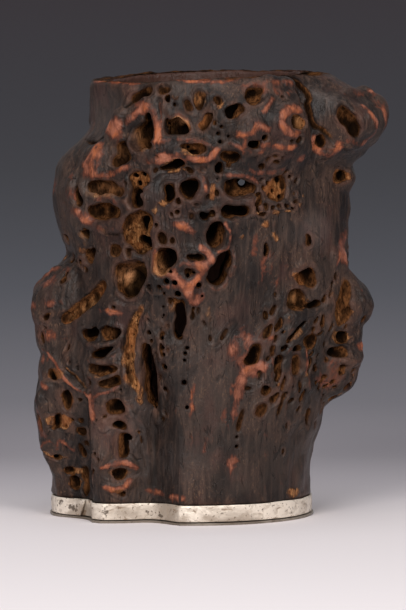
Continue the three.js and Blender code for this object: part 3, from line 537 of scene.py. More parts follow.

# Painted shade and painted light inside the hollows: the same, but measured straight from the front
PAINTED_SHADE_PATCHES = {
    "large hollow right": (-26, 89, 3.6, 7.0, 0, 1.5),
    "large hollow bottom": (-31, 83.8, 5.5, 2.6, 0, 1.5),
    "ear hollow": (68.7, 142, 3.8, 4.5, -30, 1.5),
    "web hollow": (-9.8, 97.5, 2.2, 5.0, 14, 1.3),
    "neck hollow": (-5.5, 142.6, 5.0, 2.0, 0, 1.5),
    "arch": (-22.5, 144, 2.6, 5.0, 0, 1.3),
    "round dark": (-1, 121, 3.0, 2.4, 0, 1.0),
}
PAINTED_LIGHT_PATCHES = {
    "large hollow": (-37.5, 92, 4.4, 5.6, 10, 1.4),
    "web hollow": (-14.8, 93.5, 2.6, 3.2, 0, 0.25),
    "neck hollow": (-5, 147.2, 4.2, 2.2, 0, 0.8),
    "arch": (-31, 141, 3.2, 4.5, 0, 0.2),
    "left round": (-39, 133.5, 3.0, 3.0, 0, 0.2),
    "wide": (-48, 121.5, 7.0, 2.4, 0, 0.2),
    "stack second": (-50, 55.5, 3.0, 2.0, 0, 0.3),
    "stack third": (-44, 51, 2.6, 1.6, 0, 0.3),
}

# Dark stains on the band: the same, except that the height is that of the metal
BAND_STAINS = {
    "left end": (-75, 5.4, 0.8, 1.2, 0, 0.9),
    "left pair": (-69, 4, 1.8, 0.9, 10, 0.9),
    "left pair low": (-66.5, 3.2, 1.0, 0.8, 0, 0.8),
    "by the second column": (-43, 4.2, 0.9, 1.6, 0, 0.8),
    "long stain": (-25.5, 3.4, 2.6, 0.9, 5, 0.9),
    "long stain end": (-18.5, 3, 1.8, 1.1, 0, 0.9),
    "front stain": (17.5, 4, 1.2, 0.8, 0, 0.6),
    "right stain": (58, 3.4, 3.0, 1.6, 0, 0.5),
}

# Areas that the burl leaves calm: angle, height, half width, half height, lean, strength
CALM_PATCHES = {
    "front panel": (14, 36, 34, 46, 0, 0.85),
    "right panel": (45, 85, 16, 24, 0, 0.7),
    "neck": (-66, 150, 14, 13, 0, 0.8),
    "right flank": (68, 110, 12, 14, 0, 0.8),
    "left shoulder": (-84, 124, 9, 24, 0, 0.6),
}

# Fields of small cells: angle, height, reach round, reach up, count, least and most half width,
# height for a width of one, lean, share of bare wood
CELL_FIELDS = {
    "crown": (-5, 140, 52, 18, 90, 0.7, 1.5, 1.1, 10, 0.35),
    "brow": (-8, 118, 48, 14, 70, 0.7, 1.6, 1.0, 0, 0.35),
    "waist of the burl": (-30, 98, 34, 14, 40, 0.7, 1.5, 1.1, 0, 0.35),
    "web": (-4, 90, 14, 12, 14, 0.7, 1.2, 1.0, 0, 0.2),
    "under the chin": (40, 120, 15, 9, 60, 0.7, 1.4, 0.9, 20, 0.7),
    "left column": (-72, 38, 15, 32, 22, 0.6, 1.1, 1.3, 0, 0.6),
    "between the columns": (-45, 44, 14, 36, 34, 0.7, 1.4, 1.0, 30, 0.4),
    "left knuckle": (-76, 82, 12, 16, 16, 0.8, 1.6, 1.1, 40, 0.6),
    "right honeycomb": (55, 61, 15, 17, 190, 0.65, 1.35, 2.0, 22, 0.8),
    "right knuckle": (80, 62, 11, 22, 120, 0.7, 1.7, 1.7, 10, 0.8),
    "by the long slit": (-17, 60, 7, 22, 22, 0.6, 0.9, 1.6, 0, 0.3),
    "front fibres": (9, 76, 12, 12, 16, 0.6, 0.8, 2.6, 0, 0.5),
    "knob": (38, 148, 20, 12, 14, 0.7, 1.2, 0.9, 0, 0.3),
    "ear": (74, 148, 12, 12, 12, 0.7, 1.4, 1.2, 0, 0.4),
    "back": (180, 100, 75, 42, 90, 0.8, 2.4, 1.2, 0, 0.4),
    "back foot": (180, 38, 80, 26, 40, 0.8, 2.0, 1.5, 0, 0.4),
}

# Fineness
VOXEL = 0.6
GRID_MARGIN = 4 * VOXEL
NORMAL_STEP = 0.8 * VOXEL
TINY = 1e-6
MAP_COLUMNS = 1800
SHORT_OF_TOP = 1.001
TRUNK_TRIANGLES = 192000
LATTICE = 32
BAND_STEPS = 720
BAND_SECTION = 32
FAR = 99.0

# Seeded unevenness: strength, size of its waves, and seed. Where the strength is 1, another one is
# applied where the unevenness is used.
SEED = 160
CELL_SEED = SEED + 60
UNEVENNESS = {
    "long waves": (0.75, 8.0, SEED),
    "short waves": (0.4, 4.0, SEED + 1),
    "flutes": (0.22, 3.2, SEED + 2),
    "fine flutes": (0.1, 1.7, SEED + 3),
    "hollow walls": (0.14, 1.8, SEED + 5),
    "rim waves": (0.5, 14.0, SEED + 9),
    "rim nicks": (0.25, 5.0, SEED + 10),
    "string swellings": (1, 3.2, SEED + 11),
    "fine string swellings": (0.4, 1.4, SEED + 16),
    "small holes": (0.2, 2.0, SEED + 12),
    "line wandering": (0.5, 5.0, SEED + 13),
    "fibres": (1, 1.5, SEED + 14),
    "pitting": (1, 3.0, SEED + 15),
    "wandering": (0.9, 7.0, SEED + 20),
    "fine wandering": (0.5, 2.8, SEED + 21),
    "band edges": (0.22, 9.0, SEED + 40),
    "beaten metal": (0.16, 5.0, SEED + 41),
    "fine beaten metal": (0.08, 2.2, SEED + 42),
    "worn patches": (0.6, 4.5, SEED + 50),
    "worn flecks": (0.35, 1.8, SEED + 51),
}
FLUTE_GRAIN = (1, 1, 0.14)
FIBRE_GRAIN = (1, 1, 0.35)
SKIN_ROUGHNESS = 0.05
FIBRE_ROUGHNESS = 0.2
PIT_ROUGHNESS = 0.3
FULL_ROUGHNESS_DEPTH = 3
ROUGHENED_REACH = 1.5
CLEAR_OF_BAND = 1
FADE_OVER_BAND = 2

# How far edges are rounded where two shapes meet
RIM_ROUNDING = 2.0
BORE_ROUNDING = 1.0
GROOVE_ROUNDING = 1.0
ROPE_ROUNDING = 1.6
SMALL_HOLE_ROUNDING = 0.4
POCKET_ROUNDING = 0.7
MOUTH_ROUNDING = 0.2
MOUTH_ROUNDING_LIMITS = (0.35, 0.8)

# How hollows are shaped: their fullness, the lobes of their outline, their lips and their pockets
EGG_FULLNESS = 2.4
OUTLINE_LOBES = 0.08
MOST_LOBE_TURN = 6.3
LIP_SHARE = 0.9
LIP_PLACE = 1.0
LIP_WIDTH = 1.0
LIP_REACH = 6
BUMP_SOFTNESS = 1.5
BUMP_REACH = 2
HOLLOW_MARGIN = 3
POCKETS = 4
POCKET_DEPTHS = (2.5, 15)
POCKET_LEAST_WIDTH = 2.0
POCKET_SPREAD = (1, 1, 0.3)
POCKET_SIZES = (0.3, 0.5)

# Small cells: how they spread and tip, and the limits of their sizes as shares of their half width
CELL_SPREAD = 0.5
CELL_TIPPING = 18
CELL_HEIGHTS = (0.8, 1.5)
CELL_DEPTHS = (0.9, 1.8)
CELL_LEAST_LIP = 0.15
CELL_LIP_SHARE = 0.2
CELL_BARES = (0.3, 1.4)
CLOSEST_CELLS = 0.8
LOWEST_CELL = 11.0
HIGHEST_CELL = 156.0

# How lines are strung with balls: a rope is sunk to a share of its height, so that it melts in
STRING_STEP = 0.5
STRING_REACH = 2.5
ROPE_SINK = 0.75
ROPE_SWELLING = 0.3
GROOVE_SWELLING = 0.12
LEAST_END = 0.02

# How the finish's shares fade: from and to, in half sizes, half widths, millimetres or shares
PATCH_THICKNESS = 6.0
HOLLOW_PATCH_THICKNESS = 16.0
PATCH_FADE = (0.4, 1.4)
LINE_CORE = 0.3
LINE_MARGIN = 5
PAINT_MARGIN = 7
BEHIND_FLOOR = 4
BEFORE_MOUTH = 5
GROOVE_FADE = 1.25
ROPE_FADE = 1.55
CREASE_FADE = 1.2
BARE_EDGE = (-0.7, 0.15)
MOUTH_EDGE = (-0.6, 0.2)
BORE_EDGE = (-1.5, -0.4)
# Painted shade in the hollows: the depths and reaches over which it comes in, the weight of its side, and
# how far that side rises where a hollow has no pull
SHADED_DEPTHS = (3.8, 7.5)
SHADED_REACH = (0.3, 0.75)
SHADED_SIDE = 0.6
PLAIN_DARK_RISE = 0.4
WORN_SHARE = 0.95
WORN_LIMITS = (0.5, 1.25)
FULL_DEPTH = 8
DEPTH_LIMIT = 1.5
BEYOND_LIMITS = (-4, 8)
RIDGE_REACH = 3
RIDGE_LIMIT = 2
CLOSED_REACH = 7
# How much painted light takes away of the painted black in closed places
PAINTED_LIGHT_OPENNESS = 0.25

# The band's section and its ends: a power that squares it, how far it is eased, and how each end is cut
BAND_SQUARENESS = 0.4
BAND_EASE = 0.1
BAND_END_CUT = 3.0
BAND_START_CUT = 1.0
BAND_CUT_SHARPNESS = 40
BAND_PATTERN_RADIUS = 45.0

# The studio, in metres; the floor's colours are a painted pool of light, those at each distance from the
# middle of the pool
POOL_MIDDLE = (0.0, -0.3, 0.0)
POOL_REACH = 6.0
POOL_COLOURS = (
    (0.0, (0.82, 0.765, 0.775)),
    (0.3, (0.80, 0.74, 0.75)),
    (0.4, (0.57, 0.525, 0.55)),
    (0.5, (0.375, 0.345, 0.37)),
    (0.7, (0.265, 0.252, 0.275)),
    (1.3, (0.197, 0.197, 0.22)),
    (2.3, (0.170, 0.164, 0.176)),
    (5.6, (0.157, 0.128, 0.137)),
)
FLOOR_SIZE = 40.0
WORLD_COLOUR = (0.9, 0.93, 1.0, 1)
WORLD_STRENGTH = 0.25
SOFT_BOXES = (
    ("left_box", (-0.42, -1.2, 0.73), 0.6, 11.7, (1.0, 0.98, 0.96)),
    ("right_box", (0.58, -1.05, 0.6), 0.45, 6.9, (1.0, 0.97, 0.94)),
    ("top_box", (0.0, -0.15, 1.3), 0.8, 4.5, (1.0, 1.0, 1.0)),
)
LAMP_TARGET = Vector((0, 0, 0.08))

# Colours of the wood and of the metal
WOOD = {
    "black skin": (0.013, 0.0085, 0.0075),
    "grey skin": (0.042, 0.028, 0.0225),
    "brown skin": (0.066, 0.035, 0.025),
    "red brown skin": (0.085, 0.034, 0.026),
    "cold skin": (0.014, 0.0105, 0.0095),
    "pale streak": (0.100, 0.062, 0.046),
    "dark streak": (0.007, 0.0045, 0.004),
    "pale speck": (0.15, 0.085, 0.052),
    "dark speck": (0.008, 0.0055, 0.005),
    "crack": (0.006, 0.004, 0.003),
    "stain_and_shade": (0.011, 0.0085, 0.0075),
    "painted_sheen": (0.105, 0.080, 0.072),
    "rubbed": (0.12, 0.052, 0.034),
    "mouth edge highlight": (0.16, 0.085, 0.055),
    "pink": (0.31, 0.112, 0.066),
    "orange": (0.34, 0.100, 0.040),
    "dull red": (0.150, 0.044, 0.026),
    "dark red": (0.100, 0.030, 0.017),
    "dark sienna": (0.026, 0.010, 0.004),
    "sienna": (0.130, 0.052, 0.019),
    "dark straw": (0.075, 0.026, 0.009),
    "straw": (0.30, 0.125, 0.045),
    "pale grit": (0.52, 0.28, 0.12),
    "dark grit": (0.020, 0.008, 0.004),
    "orange straw": (0.21, 0.068, 0.021),
    "brown straw": (0.030, 0.012, 0.006),
    "pale straw": (0.52, 0.25, 0.105),
    "deep painted shade": (0.0035, 0.002, 0.001),
    "painted lit wood": (0.6, 0.28, 0.13),
    "painted_shade": (0.005, 0.0028, 0.0015),
    "crease shade": (0.005, 0.003, 0.002),
    "dark bore": (0.022, 0.010, 0.007),
    "bore": (0.085, 0.038, 0.027),
    "dark sawn": (0.03, 0.015, 0.009),
    "sawn": (0.085, 0.045, 0.026),
}
METAL = {
    "dull": (0.42, 0.345, 0.275),
    "bright": (0.85, 0.745, 0.63),
    "dent": (0.42, 0.33, 0.25),
    "brown stain": (0.20, 0.115, 0.06),
    "speck": (0.13, 0.085, 0.05),
    "stain": (0.075, 0.05, 0.032),
    "painted low shade": (0.10, 0.075, 0.055),
}
# Painted shade along the metal's lowest edge: where it starts, and where it is full
LOW_SHADE_TOP = 0.0013
LOW_SHADE_FULL = 0.0006

# Places of a colour mix's sockets
MIX_SHARE = 0
MIX_FIRST = 6
MIX_SECOND = 7
MIX_RESULT = 2

# The photograph's view, in metres and degrees
CAMERA_DISTANCE = 2.2
CAMERA_ELEVATION = 4.95
CAMERA_TARGET = Vector((0.0048, 0.0, 0.0769))
CAMERA_LENS = 353.0
SENSOR_WIDTH = 36.0


def along(points, share):
    """A smooth curve through (share, value) points: cubic Hermite pieces whose slopes come from each
    point's neighbours."""
    knots = np.array(points, float)
    x = knots[:, 0]
    value = knots[:, 1]
    before = np.maximum(np.arange(len(x)) - 1, 0)
    after = np.minimum(np.arange(len(x)) + 1, len(x) - 1)
    slope = (value[after] - value[before]) / (x[after] - x[before])
    share = np.clip(share, 0, 1)
    i = np.clip(np.searchsorted(x, share, side="right") - 1, 0, len(x) - 2)
    span = x[i + 1] - x[i]
    t = (share - x[i]) / span
    start = (2 * t**3 - 3 * t**2 + 1) * value[i] + (t**3 - 2 * t**2 + t) * span * slope[i]
    return start + (3 * t**2 - 2 * t**3) * value[i + 1] + (t**3 - t**2) * span * slope[i + 1]


def smooth_step(value, low, high):
    """From 0 at low to 1 at high along 3t^2 - 2t^3."""
    t = np.clip((value - low) / (high - low), 0, 1)
    return t * t * (3 - 2 * t)


def turn_between(angle, middle):
    """The turn from middle to angle, from -180 to 180."""
    return (angle - middle + FULL_TURN / 2) % FULL_TURN - FULL_TURN / 2


def plain_radius(angle, share):
    """Four quarter ellipses that share one height: 1 / hypot(sin / reach across, cos / reach deep)."""
    side = np.sin(np.radians(angle))
    fore = np.cos(np.radians(angle))
    right = RIGHT_REACH * along(RIGHT_PROFILE, share)
    left = LEFT_REACH * along(LEFT_PROFILE, share)
    front = FRONT_REACH * along(FRONT_PROFILE, share)
    back = BACK_REACH * along(BACK_PROFILE, share)
    across = np.where(side > 0, right, left)
    deep = np.where(fore > 0, front, back)
    return 1 / np.hypot(side / across, fore / deep)


def lumpy_radius(angle, height):
    """The plain radius, and for each lump its bulge times (1 - d squared) to a power, with d the
    distance from its middle in half widths and half heights. A lean tips a lump to the right."""
    radius = plain_radius(angle, height / POT_HEIGHT)
    for middle, share, half_width, half_height, bulge, lean in LUMPS.values():
        arc = np.radians(turn_between(angle, middle)) * plain_radius(middle, share)
        rise = height - share * POT_HEIGHT
        tip = math.radians(lean)
        u = (arc * math.cos(tip) - rise * math.sin(tip)) / half_width
        v = (arc * math.sin(tip) + rise * math.cos(tip)) / half_height
        radius = radius + bulge * np.clip(1 - u**2 - v**2, 0, None) ** LUMP_SOFTNESS
    return radius


def cloud(points, size, seed, parts=1):
    """Smooth noise from -1 to 1: seeded values on a cubic lattice of that size, blended between
    neighbours with the fade curve 6t^5 - 15t^4 + 10t^3."""
    values = np.random.default_rng(seed).uniform(-1, 1, (LATTICE,) * 3 + (parts,)).astype(np.float32)
    place = np.asarray(points, np.float32) / size
    corner = np.floor(place).astype(np.int32)
    t = place - corner
    fade = t * t * t * (t * (t * 6 - 15) + 10)
    total = np.zeros(place.shape[:-1] + (parts,), np.float32)
    for step in np.ndindex(2, 2, 2):
        weight = np.prod(np.where(step, fade, 1 - fade), axis=-1)
        i, j, k = np.moveaxis((corner + step) % LATTICE, -1, 0)
        total += weight[..., None] * values[i, j, k]
    return total if parts > 1 else total[..., 0]


def unevenness(points, kind, parts=1):
    """One of the table's kinds of unevenness at each place: its strength times its own noise."""
    strength, size, seed = UNEVENNESS[kind]
    return strength * cloud(points, size, seed, parts)


def wandered(points):
    """Places moved a little by noise, so that whatever is measured from them has a hand-worn outline."""
    points = np.asarray(points, np.float32)
    return points + unevenness(points, "wandering", 3) + unevenness(points, "fine wandering", 3)


def smooth_larger(a, b, rounding):
    """The larger of two fields, with the crease between them rounded over that distance."""
    share = np.clip(0.5 + 0.5 * (a - b) / rounding, 0, 1)
    return a * share + b * (1 - share) + rounding * share * (1 - share)


def clear_of(angle, height, reach, taken):
    """Whether an oval of that reach on the wall stays clear of every hollow taken before it."""
    arc = np.radians(turn_between(angle, taken[:, 0])) * FRONT_REACH
    rise = height - taken[:, 1]
    tip = np.radians(taken[:, 5])
    u = (arc * np.cos(tip) - rise * np.sin(tip)) / (taken[:, 2] + reach)
    v = (arc * np.sin(tip) + rise * np.cos(tip)) / (taken[:, 3] + reach)
    return (np.hypot(u, v) > 1).all()


def scattered_cells():
    """Small hollows at chance places of each field that stay clear of every hollow before them."""
    chance = np.random.default_rng(CELL_SEED)
    taken = np.array([row[:6] for row in HOLLOWS.values()] + list(BUMPS.values()), float)
    cells = []
    for angle, height, around, up, count, least, most, tall, lean, bare in CELL_FIELDS.values():
        for _ in range(count):
            turn, rise = chance.normal(0, CELL_SPREAD, 2)
            width = least + (most - least) * chance.random() ** 2
            tip = lean + chance.normal(0, CELL_TIPPING)
            half_height = width * tall * chance.uniform(*CELL_HEIGHTS)
            depth = width * chance.uniform(*CELL_DEPTHS)
            lip = CELL_LEAST_LIP + CELL_LIP_SHARE * width
            own_bare = bare * chance.uniform(*CELL_BARES)
            place = (angle + around * turn, height + up * rise)
            row = (*place, width, half_height, depth, tip, lip, own_bare)
            reach = CLOSEST_CELLS * math.sqrt(width * half_height)
            if LOWEST_CELL < place[1] < HIGHEST_CELL and clear_of(*place, reach, taken):
                taken = np.vstack([taken, row[:6]])
                cells.append(row)
    return cells


def on_wall(angle, height, lean, heading=None):
    """A point on the lumpy wall, with three directions: across, along the lean, and outwards, which
    points along the heading if there is one."""
    turn = math.radians(angle)
    facing = turn if heading is None else math.radians(heading)
    tip = math.radians(lean)
    radius = float(lumpy_radius(angle, height))
    point = np.array([radius * math.sin(turn), -radius * math.cos(turn), height])
    outward = np.array([math.sin(facing), -math.cos(facing), 0])
    right = np.array([math.cos(facing), math.sin(facing), 0])
    up = np.array([0, 0, 1.0])
    across = right * math.cos(tip) - up * math.sin(tip)
    long_way = right * math.sin(tip) + up * math.cos(tip)
    return point, np.stack([across, long_way, outward])


def seen_from(bent, frame_on_wall):
    """Wandered places as (across, along the lean, outwards) from a point on the wall."""
    middle, directions = frame_on_wall
    return (bent - wandered(middle)) @ directions.T


def patch_shares(bent, patches, thickness=PATCH_THICKNESS, heading=None):
    """At each wandered place the strongest patch: its strength, fading away from its middle."""
    share = np.zeros(bent.shape[:-1])
    for angle, height, half_width, half_height, lean, strength in patches.values():
        u, v, w = np.moveaxis(seen_from(bent, on_wall(angle, height, lean, heading)), -1, 0)
        reach = np.hypot(u / half_width, v / half_height)
        here = strength * (1 - smooth_step(reach, *PATCH_FADE)) * (abs(w) < thickness)
        share = np.maximum(share, here)
    return share


class Hollow:
    """An egg cut into the wall: its place and directions, its sizes, and how its mouth is dressed."""

    def __init__(self, row, pull=(0, 0), heading=None):
        self.angle, self.height, half_width, half_height, self.depth, lean, self.lip, self.bare = row
        self.half_sizes = np.array([half_width, half_height, self.depth])
        self.least = min(half_width, half_height)
        self.pull = np.array(pull) * (half_width, half_height)
        # The side that the painted shade lies on: along the pull, or else towards the front middle and up
        to_middle = -math.copysign(1, self.angle)
        way = Vector(pull if any(pull) else (to_middle, PLAIN_DARK_RISE)).normalized()
        self.dark_way = np.array(way)
        own_seed = round(SEED + 7 * abs(self.angle) + 13 * self.height)
        self.turns = np.random.default_rng(own_seed).uniform(0, MOST_LOBE_TURN, 2)
        self.frame = on_wall(self.angle, self.height, lean, heading)

    def local(self, bent):
        """Wandered places as seen from the mouth, with the pull and the outline's lobes taken out. The
        lobes are two sines of the way round, with two and three waves."""
        seen = seen_from(bent, self.frame)
        inwards = np.clip(-seen[..., 2:] / self.depth, 0, 1)
        seen[..., :2] -= inwards * self.pull
        way = np.arctan2(seen[..., 1:2], seen[..., 0:1])
        two = np.sin(2 * way + self.turns[0])
        three = np.sin(3 * way + self.turns[1])
        seen[..., :2] /= 1 + OUTLINE_LOBES * two + OUTLINE_LOBES * three
        return seen

    def painted_shade(self, seen):
        """Share of painted shade: it fills the deep end, on the side that the hollow runs in under."""
        shares = seen / self.half_sizes
        inwards = np.clip(-shares[..., 2:], 0, 1)
        from_mouth = shares[..., :2] + inwards * self.pull / self.half_sizes[:2]
        reach = SHADED_SIDE * from_mouth @ self.dark_way + inwards[..., 0]
        return smooth_step(self.depth, *SHADED_DEPTHS) * smooth_step(reach, *SHADED_REACH)

    def beyond(self, seen):
        """Distance outside the mouth's outline, nearly; below zero inside it."""
        half_width, half_height, _ = self.half_sizes
        return (np.hypot(seen[..., 0] / half_width, seen[..., 1] / half_height) - 1) * self.least


class WallMap:
    """The wall unrolled: a grid of heights by angles, with the radius at each place."""

    def __init__(self, heights):
        self.heights = heights
        self.step = FULL_TURN / MAP_COLUMNS
        self.angles = np.arange(MAP_COLUMNS) * self.step - FULL_TURN / 2
        angle, height = np.meshgrid(self.angles, heights)
        self.radius = lumpy_radius(angle, height)
        side = np.sin(np.radians(angle))
        fore = np.cos(np.radians(angle))
        self.points = np.stack([self.radius * side, -self.radius * fore, height], -1)
        self.bent = wandered(self.points)

    def window(self, angle, height, reach):
        """Rows and columns within reach of a place on the wall."""
        radius = float(lumpy_radius(angle, height))
        rows = np.nonzero(abs(self.heights - height) < reach)[0]
        columns = np.nonzero(abs(turn_between(self.angles, angle)) < math.degrees(reach / radius))[0]
        return np.ix_(rows, columns)

    def sample(self, layer, angle, height):
        """The value of a layer at any angle and height, blended between its four nearest places."""
        column = ((angle + FULL_TURN / 2) / self.step) % MAP_COLUMNS
        rows_up = (height - self.heights[0]) / (self.heights[1] - self.heights[0])
        row = np.clip(rows_up, 0, len(self.heights) - SHORT_OF_TOP)
        c = column.astype(int)
        r = row.astype(int)
        s = column - c
        t = row - r
        following = (c + 1) % MAP_COLUMNS
        low = layer[r, c] * (1 - s) + layer[r, following] * s
        high = layer[r + 1, c] * (1 - s) + layer[r + 1, following] * s
        return low * (1 - t) + high * t


def add_relief(wall):
    """Waves, upright flutes, bumps that fall off as a bell curve, and a round lip at each mouth."""
    grain = wall.points * FLUTE_GRAIN
    lively = 1 - patch_shares(wall.bent, CALM_PATCHES)
    waves = unevenness(wall.points, "long waves") + unevenness(wall.points, "short waves")
    wall.radius += lively * waves
    wall.radius += unevenness(grain, "flutes") + unevenness(grain, "fine flutes")
    for angle, height, half_width, half_height, bulge, lean in BUMPS.values():
        place = wall.window(angle, height, BUMP_REACH * max(half_width, half_height))
        u, v, _ = np.moveaxis(seen_from(wall.bent[place], on_wall(angle, height, lean)), -1, 0)
        away_squared = (u / half_width) ** 2 + (v / half_height) ** 2
        wall.radius[place] += bulge * np.exp(-BUMP_SOFTNESS * away_squared)
    for hollow in ALL_HOLLOWS:
        place = wall.window(hollow.angle, hollow.height, max(hollow.half_sizes[:2]) + LIP_REACH)
        beyond = hollow.beyond(hollow.local(wall.bent[place]))
        crest = np.exp(-(((beyond - LIP_PLACE) / LIP_WIDTH) ** 2))
        wall.radius[place] += LIP_SHARE * hollow.lip * crest


def bore_field(x, y, z):
    """Above zero in the bore: an oval that leans to the right and flares towards the rim."""
    share = np.clip(z / POT_HEIGHT, 0, 1)
    seat = FLOOR_SEAT_WIDTH * (z < SEAT_TOP)
    across = BORE_HALF_WIDTH + BORE_FLARE * share + seat
    deep = BORE_HALF_DEPTH + BORE_FLARE * share + seat
    reach = np.hypot((x - BORE_LEAN * share) / across, y / deep)
    return (1 - reach) * deep


class Grid:
    """A cubic grid of points round the trunk, with the field whose zero is the wood's surface."""

    def __init__(self, low, high):
        self.low = low
        self.axes = [np.arange(low[k], high[k], VOXEL, dtype=np.float32) for k in range(3)]
        self.field = None

    def around(self, middle, reach):
        """Slices of the grid within reach of a point, and the places of their points."""
        slices = []
        for k in range(3):
            near = np.nonzero(abs(self.axes[k] - middle[k]) < reach)[0]
            slices.append(slice(near[0], near[-1] + 1))
        places = np.stack(np.meshgrid(*(self.axes[k][slices[k]] for k in range(3)), indexing="ij"), -1)
        return tuple(slices), places

    def string(self, layer, middles, radii):
        """Lowers a layer of distances to the distance from a string of balls."""
        for middle, radius in zip(middles, radii):
            slices, places = self.around(middle, radius + STRING_REACH)
            layer[slices] = np.minimum(layer[slices], np.linalg.norm(places - middle, axis=-1) - radius)

    def sample(self, layer, places):
        """A layer's value at any place, blended between its eight nearest points."""
        spot = (places - self.low) / VOXEL
        corner = np.clip(np.floor(spot).astype(int), 0, np.array(layer.shape) - 2)
        t = spot - corner
        total = np.zeros(len(places))
        for step in np.ndindex(2, 2, 2):
            weight = np.prod(np.where(step, t, 1 - t), axis=-1)
            total += weight * layer[tuple((corner + step).T)]
        return total

    def softened(self, layer, reach):
        """Each value replaced by the mean of its neighbours within reach, by running sums."""
        width = 2 * reach + 1
        for axis in range(3):
            ends = [(0, 0)] * 3
            ends[axis] = (reach + 1, reach)
            total = np.cumsum(np.pad(layer, ends, mode="edge"), axis=axis, dtype=np.float64)
            upper = [slice(None)] * 3
            upper[axis] = slice(width, None)
            lower = [slice(None)] * 3
            lower[axis] = slice(0, -width)
            layer = ((total[tuple(upper)] - total[tuple(lower)]) / width).astype(np.float32)
        return layer


def egg(local, half_sizes):
    """Distance to a full egg, nearly: with k = sum of (|p| / size)^n to the power 1/n, it is (k - 1)
    over the length of k's gradient."""
    n = EGG_FULLNESS
    shares = np.abs(local) / half_sizes
    k = np.maximum(np.sum(shares**n, axis=-1), TINY) ** (1 / n)
    slope = np.linalg.norm(shares ** (n - 1) / half_sizes, axis=-1) * k ** (1 - n)
    return (k - 1) / np.maximum(slope, TINY)


def carve_hollows(grid):
    """Each hollow is an egg measured from wandered places, with a few pockets in its floor. Its pull
    slides it sideways with the depth, so that it runs in under one side."""
    chance = np.random.default_rng(SEED)
    for hollow in ALL_HOLLOWS:
        reach = max(hollow.half_sizes) + max(abs(hollow.pull)) + HOLLOW_MARGIN
        slices, places = grid.around(hollow.frame[0], reach)
        local = hollow.local(wandered(places))
        shape = egg(local, hollow.half_sizes) + unevenness(places, "hollow walls")
        shallowest, deepest = POCKET_DEPTHS
        if shallowest < hollow.depth < deepest and hollow.least > POCKET_LEAST_WIDTH:
            for _ in range(POCKETS):
                aside = chance.uniform(-0.5, 0.5, 3) * hollow.half_sizes * POCKET_SPREAD
                shift = aside - (0, 0, 0.5 * hollow.depth)
                inner = egg(local - shift, hollow.half_sizes * chance.uniform(*POCKET_SIZES, 3))
                shape = -smooth_larger(-shape, -inner, POCKET_ROUNDING)
        rounding = np.clip(MOUTH_ROUNDING * hollow.least, *MOUTH_ROUNDING_LIMITS)
        grid.field[slices] = smooth_larger(grid.field[slices], -shape, rounding)


def track(points):
    """Angles and heights at even steps of a smooth curve through points, and each step's share of it."""
    knots = np.array(points, float)
    legs = np.hypot(np.radians(np.diff(knots[:, 0])) * FRONT_REACH, np.diff(knots[:, 1]))
    way = np.concatenate([[0], np.cumsum(legs)]) / legs.sum()
    share = np.linspace(0, 1, int(legs.sum() / STRING_STEP) + 2)
    angle = along(np.stack([way, knots[:, 0]], -1), share)
    height = along(np.stack([way, knots[:, 1]], -1), share)
    return angle, height, share


def strung(wall, points, half_width, rise):
    """Balls along a line on the wall, sunk so that a circle through the wall at the half width has its
    crest at the rise. Their sizes fade at both ends as the root of 1 - (2t - 1)^4."""
    angle, height, share = track(points)
    fading = np.sqrt(np.clip(1 - (2 * share - 1) ** 4, LEAST_END, 1))
    size = min(abs(rise), half_width)
    radius = (half_width**2 + size**2) / (2 * size)
    surface = wall.sample(wall.radius, angle, height)
    reach = surface + np.sign(rise) * (abs(rise) - radius) * fading
    turn = np.radians(angle)
    middles = np.stack([reach * np.sin(turn), -reach * np.cos(turn), height], -1)
    swelling = ROPE_SWELLING if rise > 0 else GROOVE_SWELLING
    swollen = unevenness(middles, "string swellings") + unevenness(middles, "fine string swellings")
    radii = radius * fading * (1 + swelling * swollen)
    return middles + unevenness(middles, "line wandering", 3), radii


def add_strings(grid, wall):
    """Carves the grooves, joins the ropes, and last bores the small holes, so that they stay open."""
    grooves = np.full(grid.field.shape, FAR, np.float32)
    for half_width, depth, _, points in GROOVES.values():
        grid.string(grooves, *strung(wall, points, half_width, -depth))
    grid.field = smooth_larger(grid.field, -grooves, GROOVE_ROUNDING)
    ropes = np.full(grid.field.shape, FAR, np.float32)
    for half_width, rise, _, points in ROPES.values():
        grid.string(ropes, *strung(wall, points, half_width, ROPE_SINK * rise))
    grid.field = -smooth_larger(-grid.field, -ropes, ROPE_ROUNDING)
    holes = np.full(grid.field.shape, FAR, np.float32)
    for radius, depth, places in SMALL_HOLES.values():
        for angle, height in places:
            middle, directions = on_wall(angle, height, 0)
            inward = np.linspace(1, -depth, int(depth / STRING_STEP) + 3)[:, None]
            middles = middle + directions[2] * inward
            grid.string(holes, middles, radius * (1 + unevenness(middles, "small holes")))
    grid.field = smooth_larger(grid.field, -holes, SMALL_HOLE_ROUNDING)


def roughen(grid, outline):
    """Adds fine unevenness where the field is near zero, more of it the deeper under the outline, and
    none behind the band or in the bore."""
    near = np.nonzero(abs(grid.field) < ROUGHENED_REACH)
    places = np.stack([grid.axes[k][near[k]] for k in range(3)], -1)
    x, y, z = places.T
    depth = outline[near] - np.hypot(x, y)
    out_of_bore = np.clip(-bore_field(x, y, z) / FULL_ROUGHNESS_DEPTH, 0, 1)
    deep = np.clip(depth / FULL_ROUGHNESS_DEPTH, 0, 1) * out_of_bore
    fibres = (SKIN_ROUGHNESS + FIBRE_ROUGHNESS * deep) * unevenness(places * FIBRE_GRAIN, "fibres")
    pitting = PIT_ROUGHNESS * deep * unevenness(places, "pitting")
    above_band = np.clip((z - BAND_TOP - CLEAR_OF_BAND) / FADE_OVER_BAND, 0, 1)
    grid.field[near] += (fibres + pitting) * above_band


def band_radius(angle):
    """The band's outer face, which follows the wood at half the band's height."""
    return lumpy_radius(angle, (BAND_BOTTOM + BAND_TOP) / 2) + BAND_PROUD


